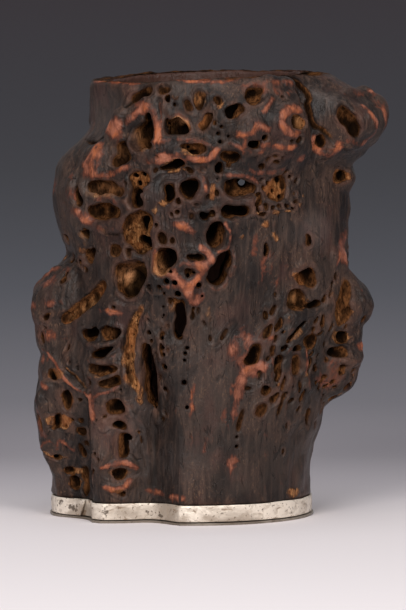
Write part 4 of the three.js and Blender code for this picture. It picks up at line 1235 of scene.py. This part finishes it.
def wood_field():
    """The wood as a field below zero inside: the wall map's radius, cut off at the rim and the foot,
    bored, and worked with the hollows, grooves, ropes and small holes."""
    low, high = (np.array(corner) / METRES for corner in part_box("burl_trunk"))
    grid = Grid(low - GRID_MARGIN, high + GRID_MARGIN)
    x, y, z = grid.axes
    wall = WallMap(z.astype(float))
    add_relief(wall)
    across, deep = np.meshgrid(x, y, indexing="ij")
    radius = np.hypot(across, deep)
    angle = np.degrees(np.arctan2(across, -deep))
    column = ((angle + FULL_TURN / 2) / wall.step) % MAP_COLUMNS
    c = column.astype(int)
    s = (column - c)[..., None]
    rebate = band_radius(wall.angles) - BAND_THICKNESS - FIT_GAP
    behind_band = (wall.heights < BAND_TOP + REST_GAP)[:, None]
    columns = np.where(behind_band, rebate[None, :], wall.radius).T.astype(np.float32)
    outline = columns[c] * (1 - s) + columns[(c + 1) % MAP_COLUMNS] * s
    field = radius[..., None].astype(np.float32) - outline
    rim = POT_HEIGHT + RIM_RISE * (1 + np.sin(np.radians(angle))) / 2
    flat = np.stack([across, deep, 0 * deep], -1)
    rim += unevenness(flat, "rim waves") + unevenness(flat, "rim nicks")
    level = z[None, None, :]
    field = smooth_larger(field, level - rim[..., None], RIM_ROUNDING)
    field = np.maximum(field, WOOD_BOTTOM - level)
    field = smooth_larger(field, bore_field(across[..., None], deep[..., None], level), BORE_ROUNDING)
    grid.field = field.astype(np.float32)
    carve_hollows(grid)
    add_strings(grid, wall)
    roughen(grid, outline)
    return grid, wall


def surface_of(grid):
    """Surface nets: one vertex in each cell whose corners differ in sign, at the mean of the points
    where the field crosses zero on its edges, and one quad round each grid edge that crosses zero."""
    field = grid.field
    inside = field < 0
    count = np.zeros(np.array(field.shape) - 1, np.int8)
    for step in np.ndindex(2, 2, 2):
        count += inside[tuple(slice(s, s + n) for s, n in zip(step, count.shape))]
    cells = np.argwhere((count > 0) & (count < 8))
    number = np.full(count.shape, -1, np.int32)
    number[tuple(cells.T)] = np.arange(len(cells))
    total = np.zeros((len(cells), 3))
    crossings = np.zeros(len(cells))
    for axis in range(3):
        for step in np.ndindex(2, 2):
            start = np.insert(np.array(step), axis, 0)
            end = start.copy()
            end[axis] = 1
            a = field[tuple((cells + start).T)]
            b = field[tuple((cells + end).T)]
            crosses = (a < 0) != (b < 0)
            t = np.where(crosses, a / np.where(crosses, a - b, 1), 0)
            place = start + t[:, None] * (end - start)
            total += place * crosses[:, None]
            crossings += crosses
    vertices = grid.low + (cells + total / crossings[:, None]) * VOXEL
    quads = []
    for axis in range(3):
        u = (axis + 1) % 3
        v = (axis + 2) % 3
        lower = [slice(1, -1)] * 3
        lower[axis] = slice(0, -1)
        upper = list(lower)
        upper[axis] = slice(1, None)
        rises = inside[tuple(lower)] & ~inside[tuple(upper)]
        falls = ~inside[tuple(lower)] & inside[tuple(upper)]
        offset = np.ones(3, int)
        offset[axis] = 0
        step_u = np.eye(3, dtype=int)[u]
        step_v = np.eye(3, dtype=int)[v]
        for edges, order in ((rises, 1), (falls, -1)):
            at = np.argwhere(edges) + offset
            corners = [at - step_u - step_v, at - step_v, at, at - step_u][::order]
            quads.append(np.stack([number[tuple(corner.T)] for corner in corners], -1))
    return vertices, np.concatenate(quads)


def largest_piece(vertices, faces):
    """Keeps the largest connected piece: each vertex takes the lowest number among its neighbours
    until nothing changes."""
    label = np.arange(len(vertices))
    while True:
        lowest = label[faces].min(axis=1)
        new = label.copy()
        np.minimum.at(new, faces.ravel(), np.repeat(lowest, faces.shape[1]))
        new = new[new]
        if (new == label).all():
            break
        label = new
    names, counts = np.unique(label, return_counts=True)
    keep = label == names[counts.argmax()]
    number = np.cumsum(keep) - 1
    return vertices[keep], number[faces[keep[faces[:, 0]]]]


def new_mesh(name, vertices, faces):
    """A smooth shaded object from arrays of vertices in millimetres and of equal-sided faces."""
    mesh = bpy.data.meshes.new(name)
    corners = faces.shape[1]
    mesh.vertices.add(len(vertices))
    mesh.vertices.foreach_set("co", (vertices * METRES).astype(np.float32).ravel())
    mesh.loops.add(faces.size)
    mesh.loops.foreach_set("vertex_index", faces.astype(np.int32).ravel())
    mesh.polygons.add(len(faces))
    mesh.polygons.foreach_set("loop_start", np.arange(0, faces.size, corners, dtype=np.int32))
    mesh.polygons.foreach_set("use_smooth", np.ones(len(faces), bool))
    mesh.update(calc_edges=True)
    mesh.validate()
    piece = bpy.data.objects.new(name, mesh)
    bpy.context.scene.collection.objects.link(piece)
    return piece


def thinned(piece, ratio):
    """Collapses edges until that share of the triangles is left, and keeps the result."""
    thin = piece.modifiers.new("thin", "DECIMATE")
    thin.ratio = min(1.0, ratio)
    graph = bpy.context.evaluated_depsgraph_get()
    mesh = bpy.data.meshes.new_from_object(piece.evaluated_get(graph))
    piece.modifiers.clear()
    piece.data = mesh
    mesh.polygons.foreach_set("use_smooth", np.ones(len(mesh.polygons), bool))


def vertex_places(piece):
    """The places of a piece's vertices, in millimetres."""
    places = np.zeros(len(piece.data.vertices) * 3, np.float32)
    piece.data.vertices.foreach_get("co", places)
    return places.reshape(-1, 3).astype(float) / METRES


def give_attribute(piece, name, values):
    """Stores a value at each vertex, for the finish to read."""
    attribute = piece.data.attributes.new(name, "FLOAT", "POINT")
    attribute.data.foreach_set("value", np.asarray(values, np.float32))


def shade_by_field(piece, grid, places):
    """Shading normals from the field's slope, so that thinned triangles still shade smoothly."""
    slopes = []
    for k in range(3):
        step = np.eye(3)[k] * NORMAL_STEP
        slopes.append(grid.sample(grid.field, places + step) - grid.sample(grid.field, places - step))
    normals = np.stack(slopes, -1)
    normals /= np.maximum(np.linalg.norm(normals, axis=-1, keepdims=True), TINY)
    piece.data.normals_split_custom_set_from_vertices(normals.tolist())


def line_shares(places, wall, lines, sign, fade):
    """At each place the strongest line of a table: its share, fading from its crest, or for a sign of
    -1 from its floor, over that many half widths."""
    share = np.zeros(len(places))
    for half_width, rise, strength, points in lines.values():
        angle, height, _ = track(points)
        turn = np.radians(angle)
        reach = wall.sample(wall.radius, angle, height) + sign * rise
        crest = np.stack([reach * np.sin(turn), -reach * np.cos(turn), height], -1)
        crest += unevenness(crest, "line wandering", 3)
        near = (places > crest.min(0) - LINE_MARGIN) & (places < crest.max(0) + LINE_MARGIN)
        near = np.nonzero(near.all(axis=-1))[0]
        away = np.linalg.norm(places[near, None] - crest[None], axis=-1).min(axis=1) / half_width
        share[near] = np.maximum(share[near], strength * (1 - smooth_step(away, LINE_CORE, fade)))
    return share


def paint(piece, grid, wall):
    """The values that the burl's finish reads at each vertex, from the same tables as its shape."""
    places = vertex_places(piece)
    shade_by_field(piece, grid, places)
    bent = wandered(places)
    x, y, z = places.T
    angle = np.degrees(np.arctan2(x, -y))
    depth = wall.sample(wall.radius, angle, z) - np.hypot(x, y)
    in_bore = smooth_step(bore_field(x, y, z), *BORE_EDGE)
    beyond = np.full(len(places), FAR)
    # Painted shade on the deep side of the hollows and in the creases
    bare = np.zeros(len(places))
    painted_shade = np.zeros(len(places))
    for hollow in ALL_HOLLOWS:
        away = np.linalg.norm(places - hollow.frame[0], axis=-1)
        near = np.nonzero(away < max(hollow.half_sizes) + PAINT_MARGIN)[0]
        seen = hollow.local(bent[near])
        level = seen[:, 2]
        at_mouth = (level > -hollow.depth - BEHIND_FLOOR) & (level < BEFORE_MOUTH)
        here = np.where(at_mouth, hollow.beyond(seen), FAR)
        beyond[near] = np.minimum(beyond[near], here)
        bare[near] = np.maximum(bare[near], hollow.bare * (1 - smooth_step(here, *BARE_EDGE)))
        inside = 1 - smooth_step(here, *MOUTH_EDGE)
        painted_shade[near] = np.maximum(painted_shade[near], hollow.painted_shade(seen) * inside)
    inside = 1 - smooth_step(beyond, *MOUTH_EDGE)
    # Painted light on the lit side of some hollows; it also makes the place bare wood
    painted_light = inside * patch_shares(bent, PAINTED_LIGHT_PATCHES, HOLLOW_PATCH_THICKNESS, 0)
    # Painted shade laid by patches on the dark side of some hollows
    shade_patch_share = inside * patch_shares(bent, PAINTED_SHADE_PATCHES, HOLLOW_PATCH_THICKNESS, 0)
    bare = np.maximum(bare, painted_light)
    painted_shade = np.clip(np.maximum(painted_shade * np.clip(1 - painted_light, 0, 1), shade_patch_share), 0, 1)
    bare = np.maximum(bare, line_shares(places, wall, GROOVES, -1, GROOVE_FADE))
    bare = np.maximum(bare, patch_shares(bent, BARE_PATCHES))
    # Grooves with no bare wood are creases that get painted shade
    shaded_creases = {name: (row[0], row[1], 1.0, row[3]) for name, row in GROOVES.items() if row[2] == 0}
    painted_shade = np.maximum(painted_shade, line_shares(places, wall, shaded_creases, -1, CREASE_FADE))
    worn = np.maximum(line_shares(places, wall, ROPES, 1, ROPE_FADE), patch_shares(bent, WORN_PATCHES))
    patchy = unevenness(places, "worn patches") + unevenness(places, "worn flecks")
    worn *= np.clip(WORN_SHARE + patchy, *WORN_LIMITS)
    near_surface = np.clip(grid.field, -RIDGE_LIMIT, RIDGE_LIMIT)
    ridge = grid.sample(grid.softened(near_surface, RIDGE_REACH), places)
    filled = (grid.field < 0).astype(np.float32)
    closed = grid.sample(grid.softened(filled, CLOSED_REACH), places)
    painted_light = np.clip(painted_light, 0, 1)
    outside = 1 - in_bore
    values = {
        "depth": np.clip(depth / FULL_DEPTH, 0, DEPTH_LIMIT) * outside,
        "closed": closed * (1 - PAINTED_LIGHT_OPENNESS * painted_light) * outside,
        "beyond": np.clip(beyond, *BEYOND_LIMITS),
        "bare": bare * outside,
        "painted_shade": painted_shade * outside,
        "painted_light": painted_light * outside,
        "worn": worn,
        "stain_and_shade": patch_shares(bent, STAIN_AND_SHADE_PATCHES),
        "painted_sheen": patch_shares(bent, PAINTED_SHEEN_PATCHES),
        "ridge": np.clip(ridge, -1, 1),
        "bored": in_bore,
    }
    for name, value in values.items():
        give_attribute(piece, name, value)


def make_trunk():
    """The burl: its field's surface, thinned and painted."""
    grid, wall = wood_field()
    vertices, quads = surface_of(grid)
    vertices, quads = largest_piece(vertices, quads)
    piece = new_mesh("gnarled_trunk", vertices, quads)
    thinned(piece, TRUNK_TRIANGLES / (2 * len(quads)))
    paint(piece, grid, wall)
    return piece


def make_foot_band():
    """A strip swept round the foot. Its section is a squared circle: powers of the cosine and the sine
    of the way round it, with their signs. Its outer face is slightly uneven, its edges wave, and its
    last end lifts over the first and is cut on a curve, a high power of the share of the way."""
    start = BAND_SEAM_ANGLE - BAND_LAP
    end = BAND_SEAM_ANGLE + FULL_TURN
    share = np.linspace(0, 1, BAND_STEPS)[:, None]
    side = np.linspace(0, 2 * math.pi, BAND_SECTION, endpoint=False)[None, :]
    squared = np.abs(np.cos(side)) ** BAND_SQUARENESS * np.sign(np.cos(side))
    upright = np.abs(np.sin(side)) ** BAND_SQUARENESS * np.sign(np.sin(side))
    near_end = share**BAND_CUT_SHARPNESS
    near_start = (1 - share) ** BAND_CUT_SHARPNESS
    trim = BAND_END_CUT * near_end * (0.5 - 0.5 * upright)
    trim -= BAND_START_CUT * near_start * (0.5 + 0.5 * upright)
    angle = start + (end - start) * share - trim * near_end
    lift = (BAND_THICKNESS + FIT_GAP) * smooth_step(angle, end - 2 * BAND_LAP, end - BAND_LAP)
    middle = (BAND_BOTTOM + BAND_TOP) / 2
    turn = np.radians(angle)
    ring = np.stack([np.sin(turn), -np.cos(turn), 0 * turn], -1) * BAND_PATTERN_RADIUS
    wave = unevenness(ring, "band edges")
    height = middle + upright * (BAND_HEIGHT / 2 - BAND_EASE) + np.where(upright > 0, wave, 0)
    surface = ring + np.stack([0 * height, 0 * height, height], -1)
    beaten = unevenness(surface, "beaten metal") + unevenness(surface, "fine beaten metal")
    outer = band_radius(angle) + lift + beaten
    reach = outer - BAND_THICKNESS / 2 + squared * BAND_THICKNESS / 2
    vertices = np.stack([reach * np.sin(turn), -reach * np.cos(turn), height], -1)
    rows, columns = np.meshgrid(np.arange(BAND_STEPS - 1), np.arange(BAND_SECTION), indexing="ij")
    following = (columns + 1) % BAND_SECTION
    corner = [rows * BAND_SECTION + columns, (rows + 1) * BAND_SECTION + columns,
              (rows + 1) * BAND_SECTION + following, rows * BAND_SECTION + following]
    sides = np.stack(corner, -1).reshape(-1, 4)
    half = np.arange(BAND_SECTION // 2 - 1)
    first = np.stack([half, half + 1, BAND_SECTION - 2 - half, BAND_SECTION - 1 - half], -1)
    last = first[:, ::-1] + (BAND_STEPS - 1) * BAND_SECTION
    piece = new_mesh("fitted_band", vertices.reshape(-1, 3), np.concatenate([sides, first, last]))
    give_attribute(piece, "stain", patch_shares(wandered(vertex_places(piece)), BAND_STAINS))
    return piece


class Finish:
    """A material in the making: short names for the nodes that it is built from."""

    def __init__(self, name, roughness, metallic=0.0):
        self.material = bpy.data.materials.new(name)
        self.material.use_nodes = True
        self.tree = self.material.node_tree
        self.shader = self.tree.nodes["Principled BSDF"]
        self.shader.inputs["Metallic"].default_value = metallic
        self.shader.inputs["Roughness"].default_value = roughness
        self.place = self.node("TexCoord").outputs["Object"]

    def node(self, kind, **values):
        """A new node; values are sockets by name, linked or set."""
        node = self.tree.nodes.new("ShaderNode" + kind)
        for name, value in values.items():
            self.put(node, name.replace("_", " "), value)
        return node

    def put(self, node, name, value):
        """Links a socket to an output, or sets it to a value."""
        socket = node.inputs[name]
        if isinstance(value, bpy.types.NodeSocket):
            self.tree.links.new(value, socket)
        else:
            socket.default_value = value

    def noise(self, fineness, detail=4.0, warp=0.0, roughness=0.55):
        """Noise with its own fineness along each axis, in waves per metre."""
        mapping = self.node("Mapping", Vector=self.place, Scale=fineness)
        noise = self.node("TexNoise", Vector=mapping.outputs["Vector"], Scale=1.0, Detail=detail,
                          Distortion=warp, Roughness=roughness)
        return noise.outputs["Fac"]

    def given(self, name):
        """A value that the mesh carries at its vertices."""
        node = self.tree.nodes.new("ShaderNodeAttribute")
        node.attribute_name = name
        return node.outputs["Fac"]

    def math(self, operation, a, b=0.0):
        """The result of an operation on numbers or outputs."""
        node = self.tree.nodes.new("ShaderNodeMath")
        node.operation = operation
        for socket, value in zip(node.inputs, (a, b)):
            if isinstance(value, bpy.types.NodeSocket):
                self.tree.links.new(value, socket)
            else:
                socket.default_value = value
        return node.outputs[0]

    def times(self, a, b):
        """The product of two numbers or outputs."""
        return self.math("MULTIPLY", a, b)

    def plus(self, a, b):
        """The sum of two numbers or outputs."""
        return self.math("ADD", a, b)

    def between(self, value, low, high):
        """0 at low, 1 at high, smooth in between."""
        node = self.tree.nodes.new("ShaderNodeMapRange")
        node.interpolation_type = "SMOOTHSTEP"
        self.put(node, "Value", value)
        self.put(node, "From Min", low)
        self.put(node, "From Max", high)
        return node.outputs["Result"]

    def ragged(self, share, noise, low=0.35, high=0.65, bite=0.7):
        """A share whose edge is broken up by noise."""
        bent = self.plus(share, self.times(self.math("SUBTRACT", noise, 0.5), bite))
        return self.between(bent, low, high)

    def mix(self, share, a, b):
        """A colour from a at share 0 to b at share 1."""
        node = self.tree.nodes.new("ShaderNodeMix")
        node.data_type = "RGBA"
        for index, value in ((MIX_SHARE, share), (MIX_FIRST, a), (MIX_SECOND, b)):
            if isinstance(value, bpy.types.NodeSocket):
                self.tree.links.new(value, node.inputs[index])
            elif isinstance(value, tuple):
                node.inputs[index].default_value = (*value, 1.0)
            else:
                node.inputs[index].default_value = value
        return node.outputs[MIX_RESULT]

    def veil(self, under, share, strength, colour):
        """A colour laid over another by a share and a strength."""
        return self.mix(self.times(share, strength), under, colour)

    def veils(self, under, *rows):
        """Colours laid over another in turn, each as a value goes from low to high."""
        for value, low, high, strength, colour in rows:
            under = self.veil(under, self.between(value, low, high), strength, colour)
        return under

    def bump(self, height, distance, under=None):
        """Fine relief in metres, on top of an earlier one."""
        node = self.node("Bump", Height=height, Distance=distance, Strength=1.0)
        if under is not None:
            self.put(node, "Normal", under)
        return node.outputs["Normal"]


def burl_finish():
    """Dark rubbed wood: streaked skin, red on the worn ridges, brown then black down the hollows, the
    black being painted shade, and raw tan fibres where the wood is bare."""
    wood = Finish("burl_wood", 0.35)
    cloudy = wood.noise((38, 38, 22), 4.0, 0.8)
    mottle = wood.noise((95, 95, 60), 5.0, 0.9)
    blotch = wood.noise((230, 230, 170), 4.0, 0.8)
    streak = wood.noise((640, 640, 75), 4.0, 0.5)
    speck = wood.noise((1500, 1500, 700), 3.0, 0.8)
    fibre = wood.noise((850, 850, 380), 4.0, 1.0)
    tint = wood.noise((60, 60, 34), 3.0, 0.5)
    crack = wood.noise((170, 170, 42), 2.0, 0.6)
    grit = wood.noise((1700, 1700, 500), 3.0, 0.6)
    depth = wood.given("depth")
    closed = wood.given("closed")
    bare = wood.given("bare")
    ridge = wood.given("ridge")
    beyond = wood.given("beyond")
    bored = wood.given("bored")

    skin = wood.mix(wood.between(cloudy, 0.38, 0.62), WOOD["black skin"], WOOD["grey skin"])
    skin = wood.veils(
        skin,
        (mottle, 0.42, 0.66, 0.5, WOOD["brown skin"]),
        (tint, 0.53, 0.66, 0.4, WOOD["red brown skin"]),
        (tint, 0.46, 0.34, 0.5, WOOD["cold skin"]),
        (streak, 0.5, 0.66, 0.34, WOOD["pale streak"]),
        (streak, 0.48, 0.32, 0.42, WOOD["dark streak"]),
    )
    specks = wood.times(wood.between(speck, 0.56, 0.66), wood.between(mottle, 0.45, 0.6))
    skin = wood.veil(skin, specks, 0.5, WOOD["pale speck"])
    skin = wood.veil(skin, wood.between(speck, 0.42, 0.32), 0.4, WOOD["dark speck"])
    line = wood.between(wood.math("ABSOLUTE", wood.math("SUBTRACT", crack, 0.5)), 0.014, 0.003)
    line = wood.times(line, wood.between(blotch, 0.42, 0.56))
    skin = wood.veil(skin, line, 0.6, WOOD["crack"])
    # Dark stains, and painted shade under the knob's chin, under the ear and in the left valley
    skin = wood.veil(skin, wood.given("stain_and_shade"), 0.85, WOOD["stain_and_shade"])
    # Painted sheen: pale grey patches standing in for soft highlights
    skin = wood.veil(skin, wood.given("painted_sheen"), 0.4, WOOD["painted_sheen"])
    lips = wood.times(wood.between(beyond, 1.2, 0.1), wood.between(beyond, -1.0, -0.2))
    crest = wood.math("MAXIMUM", wood.between(ridge, 0.15, 0.6), wood.times(lips, 0.6))
    rubbed = wood.times(crest, wood.between(mottle, 0.45, 0.62))
    skin = wood.veil(skin, rubbed, 0.4, WOOD["rubbed"])
    broken = wood.between(blotch, 0.45, 0.6)
    outer = wood.times(wood.between(beyond, 0.7, 1.0), wood.between(beyond, 1.6, 1.2))
    skin = wood.veil(skin, wood.times(outer, broken), 0.45, WOOD["crack"])
    # Painted highlight: a pale line along each mouth's rim
    edge = wood.times(wood.between(beyond, -0.3, 0.1), wood.between(beyond, 0.75, 0.4))
    skin = wood.veil(skin, wood.times(edge, broken), 0.16, WOOD["mouth edge highlight"])
    pink = wood.mix(wood.between(mottle, 0.42, 0.58), WOOD["pink"], WOOD["orange"])
    pink = wood.veil(pink, wood.between(blotch, 0.52, 0.40), 0.6, WOOD["dull red"])
    redness = wood.plus(wood.given("worn"), wood.times(blotch, 1.6))
    redness = wood.plus(redness, wood.times(wood.plus(streak, speck), 0.45))
    colour = wood.veil(skin, wood.between(redness, 1.5, 1.9), 0.85, WOOD["dark red"])
    colour = wood.veil(colour, wood.between(redness, 1.75, 2.4), 0.95, pink)
    sienna = wood.mix(wood.between(fibre, 0.34, 0.66), WOOD["dark sienna"], WOOD["sienna"])
    hollow = wood.times(wood.between(depth, 0.05, 0.14), wood.between(closed, 0.4, 0.5))
    colour = wood.mix(hollow, colour, sienna)
    straw = wood.mix(wood.between(fibre, 0.34, 0.64), WOOD["dark straw"], WOOD["straw"])
    straw = wood.veils(
        straw,
        (grit, 0.56, 0.68, 0.6, WOOD["pale grit"]),
        (grit, 0.44, 0.34, 0.7, WOOD["dark grit"]),
        (mottle, 0.5, 0.62, 0.6, WOOD["orange straw"]),
        (blotch, 0.46, 0.38, 0.6, WOOD["brown straw"]),
        # A share of bare wood over one paints paler straw; in the large hollow it is painted light on the
        # floor
        (bare, 1.05, 1.5, 0.5, WOOD["pale straw"]),
    )
    raw = wood.times(wood.ragged(bare, blotch, 0.3, 0.85, 0.8), wood.between(closed, 0.8, 0.66))
    colour = wood.mix(raw, colour, straw)
    # Painted shade: closed-in and deep places darkened to black
    colour = wood.veils(
        colour,
        (closed, 0.64, 0.8, 0.97, WOOD["deep painted shade"]),
        (depth, 0.65, 1.15, 0.97, WOOD["deep painted shade"]),
    )
    # Painted light: the lit side of some hollows made pale tan
    lit = wood.times(wood.given("painted_light"), wood.between(fibre, 0.26, 0.54))
    colour = wood.veil(colour, lit, 0.9, WOOD["painted lit wood"])
    # Painted shade: the deep side of the hollows and the creases darkened nearly to black
    colour = wood.veil(colour, wood.given("painted_shade"), 0.9, WOOD["painted_shade"])
    # Painted shade in the creases, where the ridge measure falls below zero
    colour = wood.veil(colour, wood.between(ridge, -0.08, -0.5), 0.7, WOOD["crease shade"])
    inside = wood.mix(streak, WOOD["dark bore"], WOOD["bore"])
    colour = wood.mix(bored, colour, inside)
    wood.put(wood.shader, "Base Color", colour)
    wood.put(wood.shader, "Specular IOR Level", wood.between(depth, 0.2, -0.55))

    dull = wood.plus(0.4, wood.times(wood.between(depth, 0.03, 0.3), 0.3))
    dull = wood.plus(dull, wood.times(raw, 0.2))
    dull = wood.plus(dull, wood.times(wood.math("SUBTRACT", mottle, 0.5), 0.3))
    wood.put(wood.shader, "Roughness", dull)

    rings = wood.math("SINE", wood.times(wood.plus(beyond, mottle), 5.5))
    rings = wood.times(rings, wood.between(beyond, 3.5, 0.5))
    relief = wood.bump(wood.times(rings, wood.between(depth, 0.12, 0.02)), 0.00005)
    relief = wood.bump(mottle, 0.0007, relief)
    relief = wood.bump(blotch, 0.0004, relief)
    relief = wood.bump(streak, 0.0002, relief)
    relief = wood.bump(speck, 0.00014, relief)
    relief = wood.bump(wood.times(line, -1.0), 0.0002, relief)
    rough = wood.plus(fibre, wood.times(grit, 0.4))
    rough = wood.times(rough, wood.plus(raw, wood.between(depth, 0.05, 0.4)))
    relief = wood.bump(rough, 0.0006, relief)
    wood.put(wood.shader, "Normal", relief)
    return wood.material


def floor_finish():
    """The plug's sawn wood, darkened inside the pot."""
    wood = Finish("floor_wood", 0.62)
    grain = wood.noise((260, 40, 260), 5.0, 0.8)
    colour = wood.mix(wood.between(grain, 0.35, 0.68), WOOD["dark sawn"], WOOD["sawn"])
    wood.put(wood.shader, "Base Color", colour)
    wood.put(wood.shader, "Normal", wood.bump(grain, 0.0002))
    return wood.material


def metal_finish():
    """Old pale sheet: rubbed bright, beaten, with brown stains, dark specks and dull patches, and painted
    shade along its lowest edge.
    """
    sheet = Finish("sheet_metal", 0.4, 0.3)
    cloudy = sheet.noise((45, 45, 70), 4.0, 0.6)
    stain = sheet.noise((120, 120, 260), 5.0, 1.0)
    beaten = sheet.noise((330, 330, 420), 3.0, 0.4)
    speck = sheet.noise((900, 900, 900), 4.0)
    colour = sheet.mix(sheet.between(cloudy, 0.38, 0.6), METAL["dull"], METAL["bright"])
    colour = sheet.veils(
        colour,
        (beaten, 0.5, 0.36, 0.45, METAL["dent"]),
        (stain, 0.58, 0.66, 0.75, METAL["brown stain"]),
        (speck, 0.585, 0.68, 0.75, METAL["speck"]),
    )
    spots = sheet.ragged(sheet.given("stain"), speck, 0.35, 0.7, 2.4)
    colour = sheet.veil(colour, spots, 0.85, METAL["stain"])
    # Painted shade darkens the metal near the floor
    level = sheet.node("SeparateXYZ", Vector=sheet.place).outputs["Z"]
    colour = sheet.veil(colour, sheet.between(level, LOW_SHADE_TOP, LOW_SHADE_FULL), 0.8, METAL["painted low shade"])
    sheet.put(sheet.shader, "Base Color", colour)
    sheet.put(sheet.shader, "Roughness", sheet.plus(0.25, sheet.times(stain, 0.35)))
    relief = sheet.bump(beaten, 0.0004)
    sheet.put(sheet.shader, "Normal", sheet.bump(speck, 0.00012, relief))
    return sheet.material


def ground_finish():
    """Painted light: a pale pool of light round the pot that falls off to grey with the distance from its
    middle.
    """
    ground = Finish("floor_painted_light", 0.9)
    apart = ground.node("VectorMath")
    apart.operation = "DISTANCE"
    ground.tree.links.new(ground.place, apart.inputs[0])
    apart.inputs[1].default_value = POOL_MIDDLE
    ramp = ground.node("ValToRGB", Fac=ground.math("DIVIDE", apart.outputs["Value"], POOL_REACH))
    stops = ramp.color_ramp.elements
    while len(stops) < len(POOL_COLOURS):
        stops.new(0.5)
    for stop, (distance, colour) in zip(stops, POOL_COLOURS):
        stop.position = distance / POOL_REACH
        stop.color = (*colour, 1)
    ground.put(ground.shader, "Base Color", ramp.outputs["Color"])
    ground.shader.inputs["Specular IOR Level"].default_value = 0.1
    return ground.material


burl_wood = burl_finish()
floor_wood = floor_finish()
sheet_metal = metal_finish()
for node, finish in (("floor_plug", floor_wood), ("sole_plate", sheet_metal)):
    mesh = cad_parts[node].data
    mesh.materials.clear()
    mesh.materials.append(finish)

ALL_HOLLOWS = [Hollow(row, PULLS.get(name, (0, 0)), HEADINGS.get(name)) for name, row in HOLLOWS.items()]
ALL_HOLLOWS += [Hollow(row) for row in scattered_cells()]
trunk = make_trunk()
trunk.data.materials.append(burl_wood)
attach(trunk, "root")
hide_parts("burl_trunk")

foot_band = make_foot_band()
foot_band.data.materials.append(sheet_metal)
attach(foot_band, "root")
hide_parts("foot_band")

bpy.ops.mesh.primitive_plane_add(size=FLOOR_SIZE, location=(0, 0, 0))
floor = bpy.context.object
floor.name = "floor"
floor.data.materials.append(ground_finish())

world = bpy.data.worlds.new("studio")
world.use_nodes = True
world.node_tree.nodes["Background"].inputs["Color"].default_value = WORLD_COLOUR
world.node_tree.nodes["Background"].inputs["Strength"].default_value = WORLD_STRENGTH
bpy.context.scene.world = world

for name, place, size, power, colour in SOFT_BOXES:
    lamp = bpy.data.lights.new(name, "AREA")
    lamp.energy = power
    lamp.size = size
    lamp.color = colour
    lamp_object = bpy.data.objects.new(name, lamp)
    lamp_object.location = place
    lamp_object.rotation_euler = (LAMP_TARGET - lamp_object.location).to_track_quat("-Z", "Y").to_euler()
    bpy.context.scene.collection.objects.link(lamp_object)

camera = bpy.data.cameras.new("camera")
camera.lens = CAMERA_LENS
camera.sensor_width = SENSOR_WIDTH
camera_object = bpy.data.objects.new("camera", camera)
elevation = math.radians(CAMERA_ELEVATION)
away = Vector((0, -math.cos(elevation), math.sin(elevation)))
camera_object.location = CAMERA_TARGET + CAMERA_DISTANCE * away
camera_object.rotation_euler = (-away).to_track_quat("-Z", "Y").to_euler()
bpy.context.scene.collection.objects.link(camera_object)
bpy.context.scene.camera = camera_object
bpy.context.scene.view_settings.view_transform = "Standard"
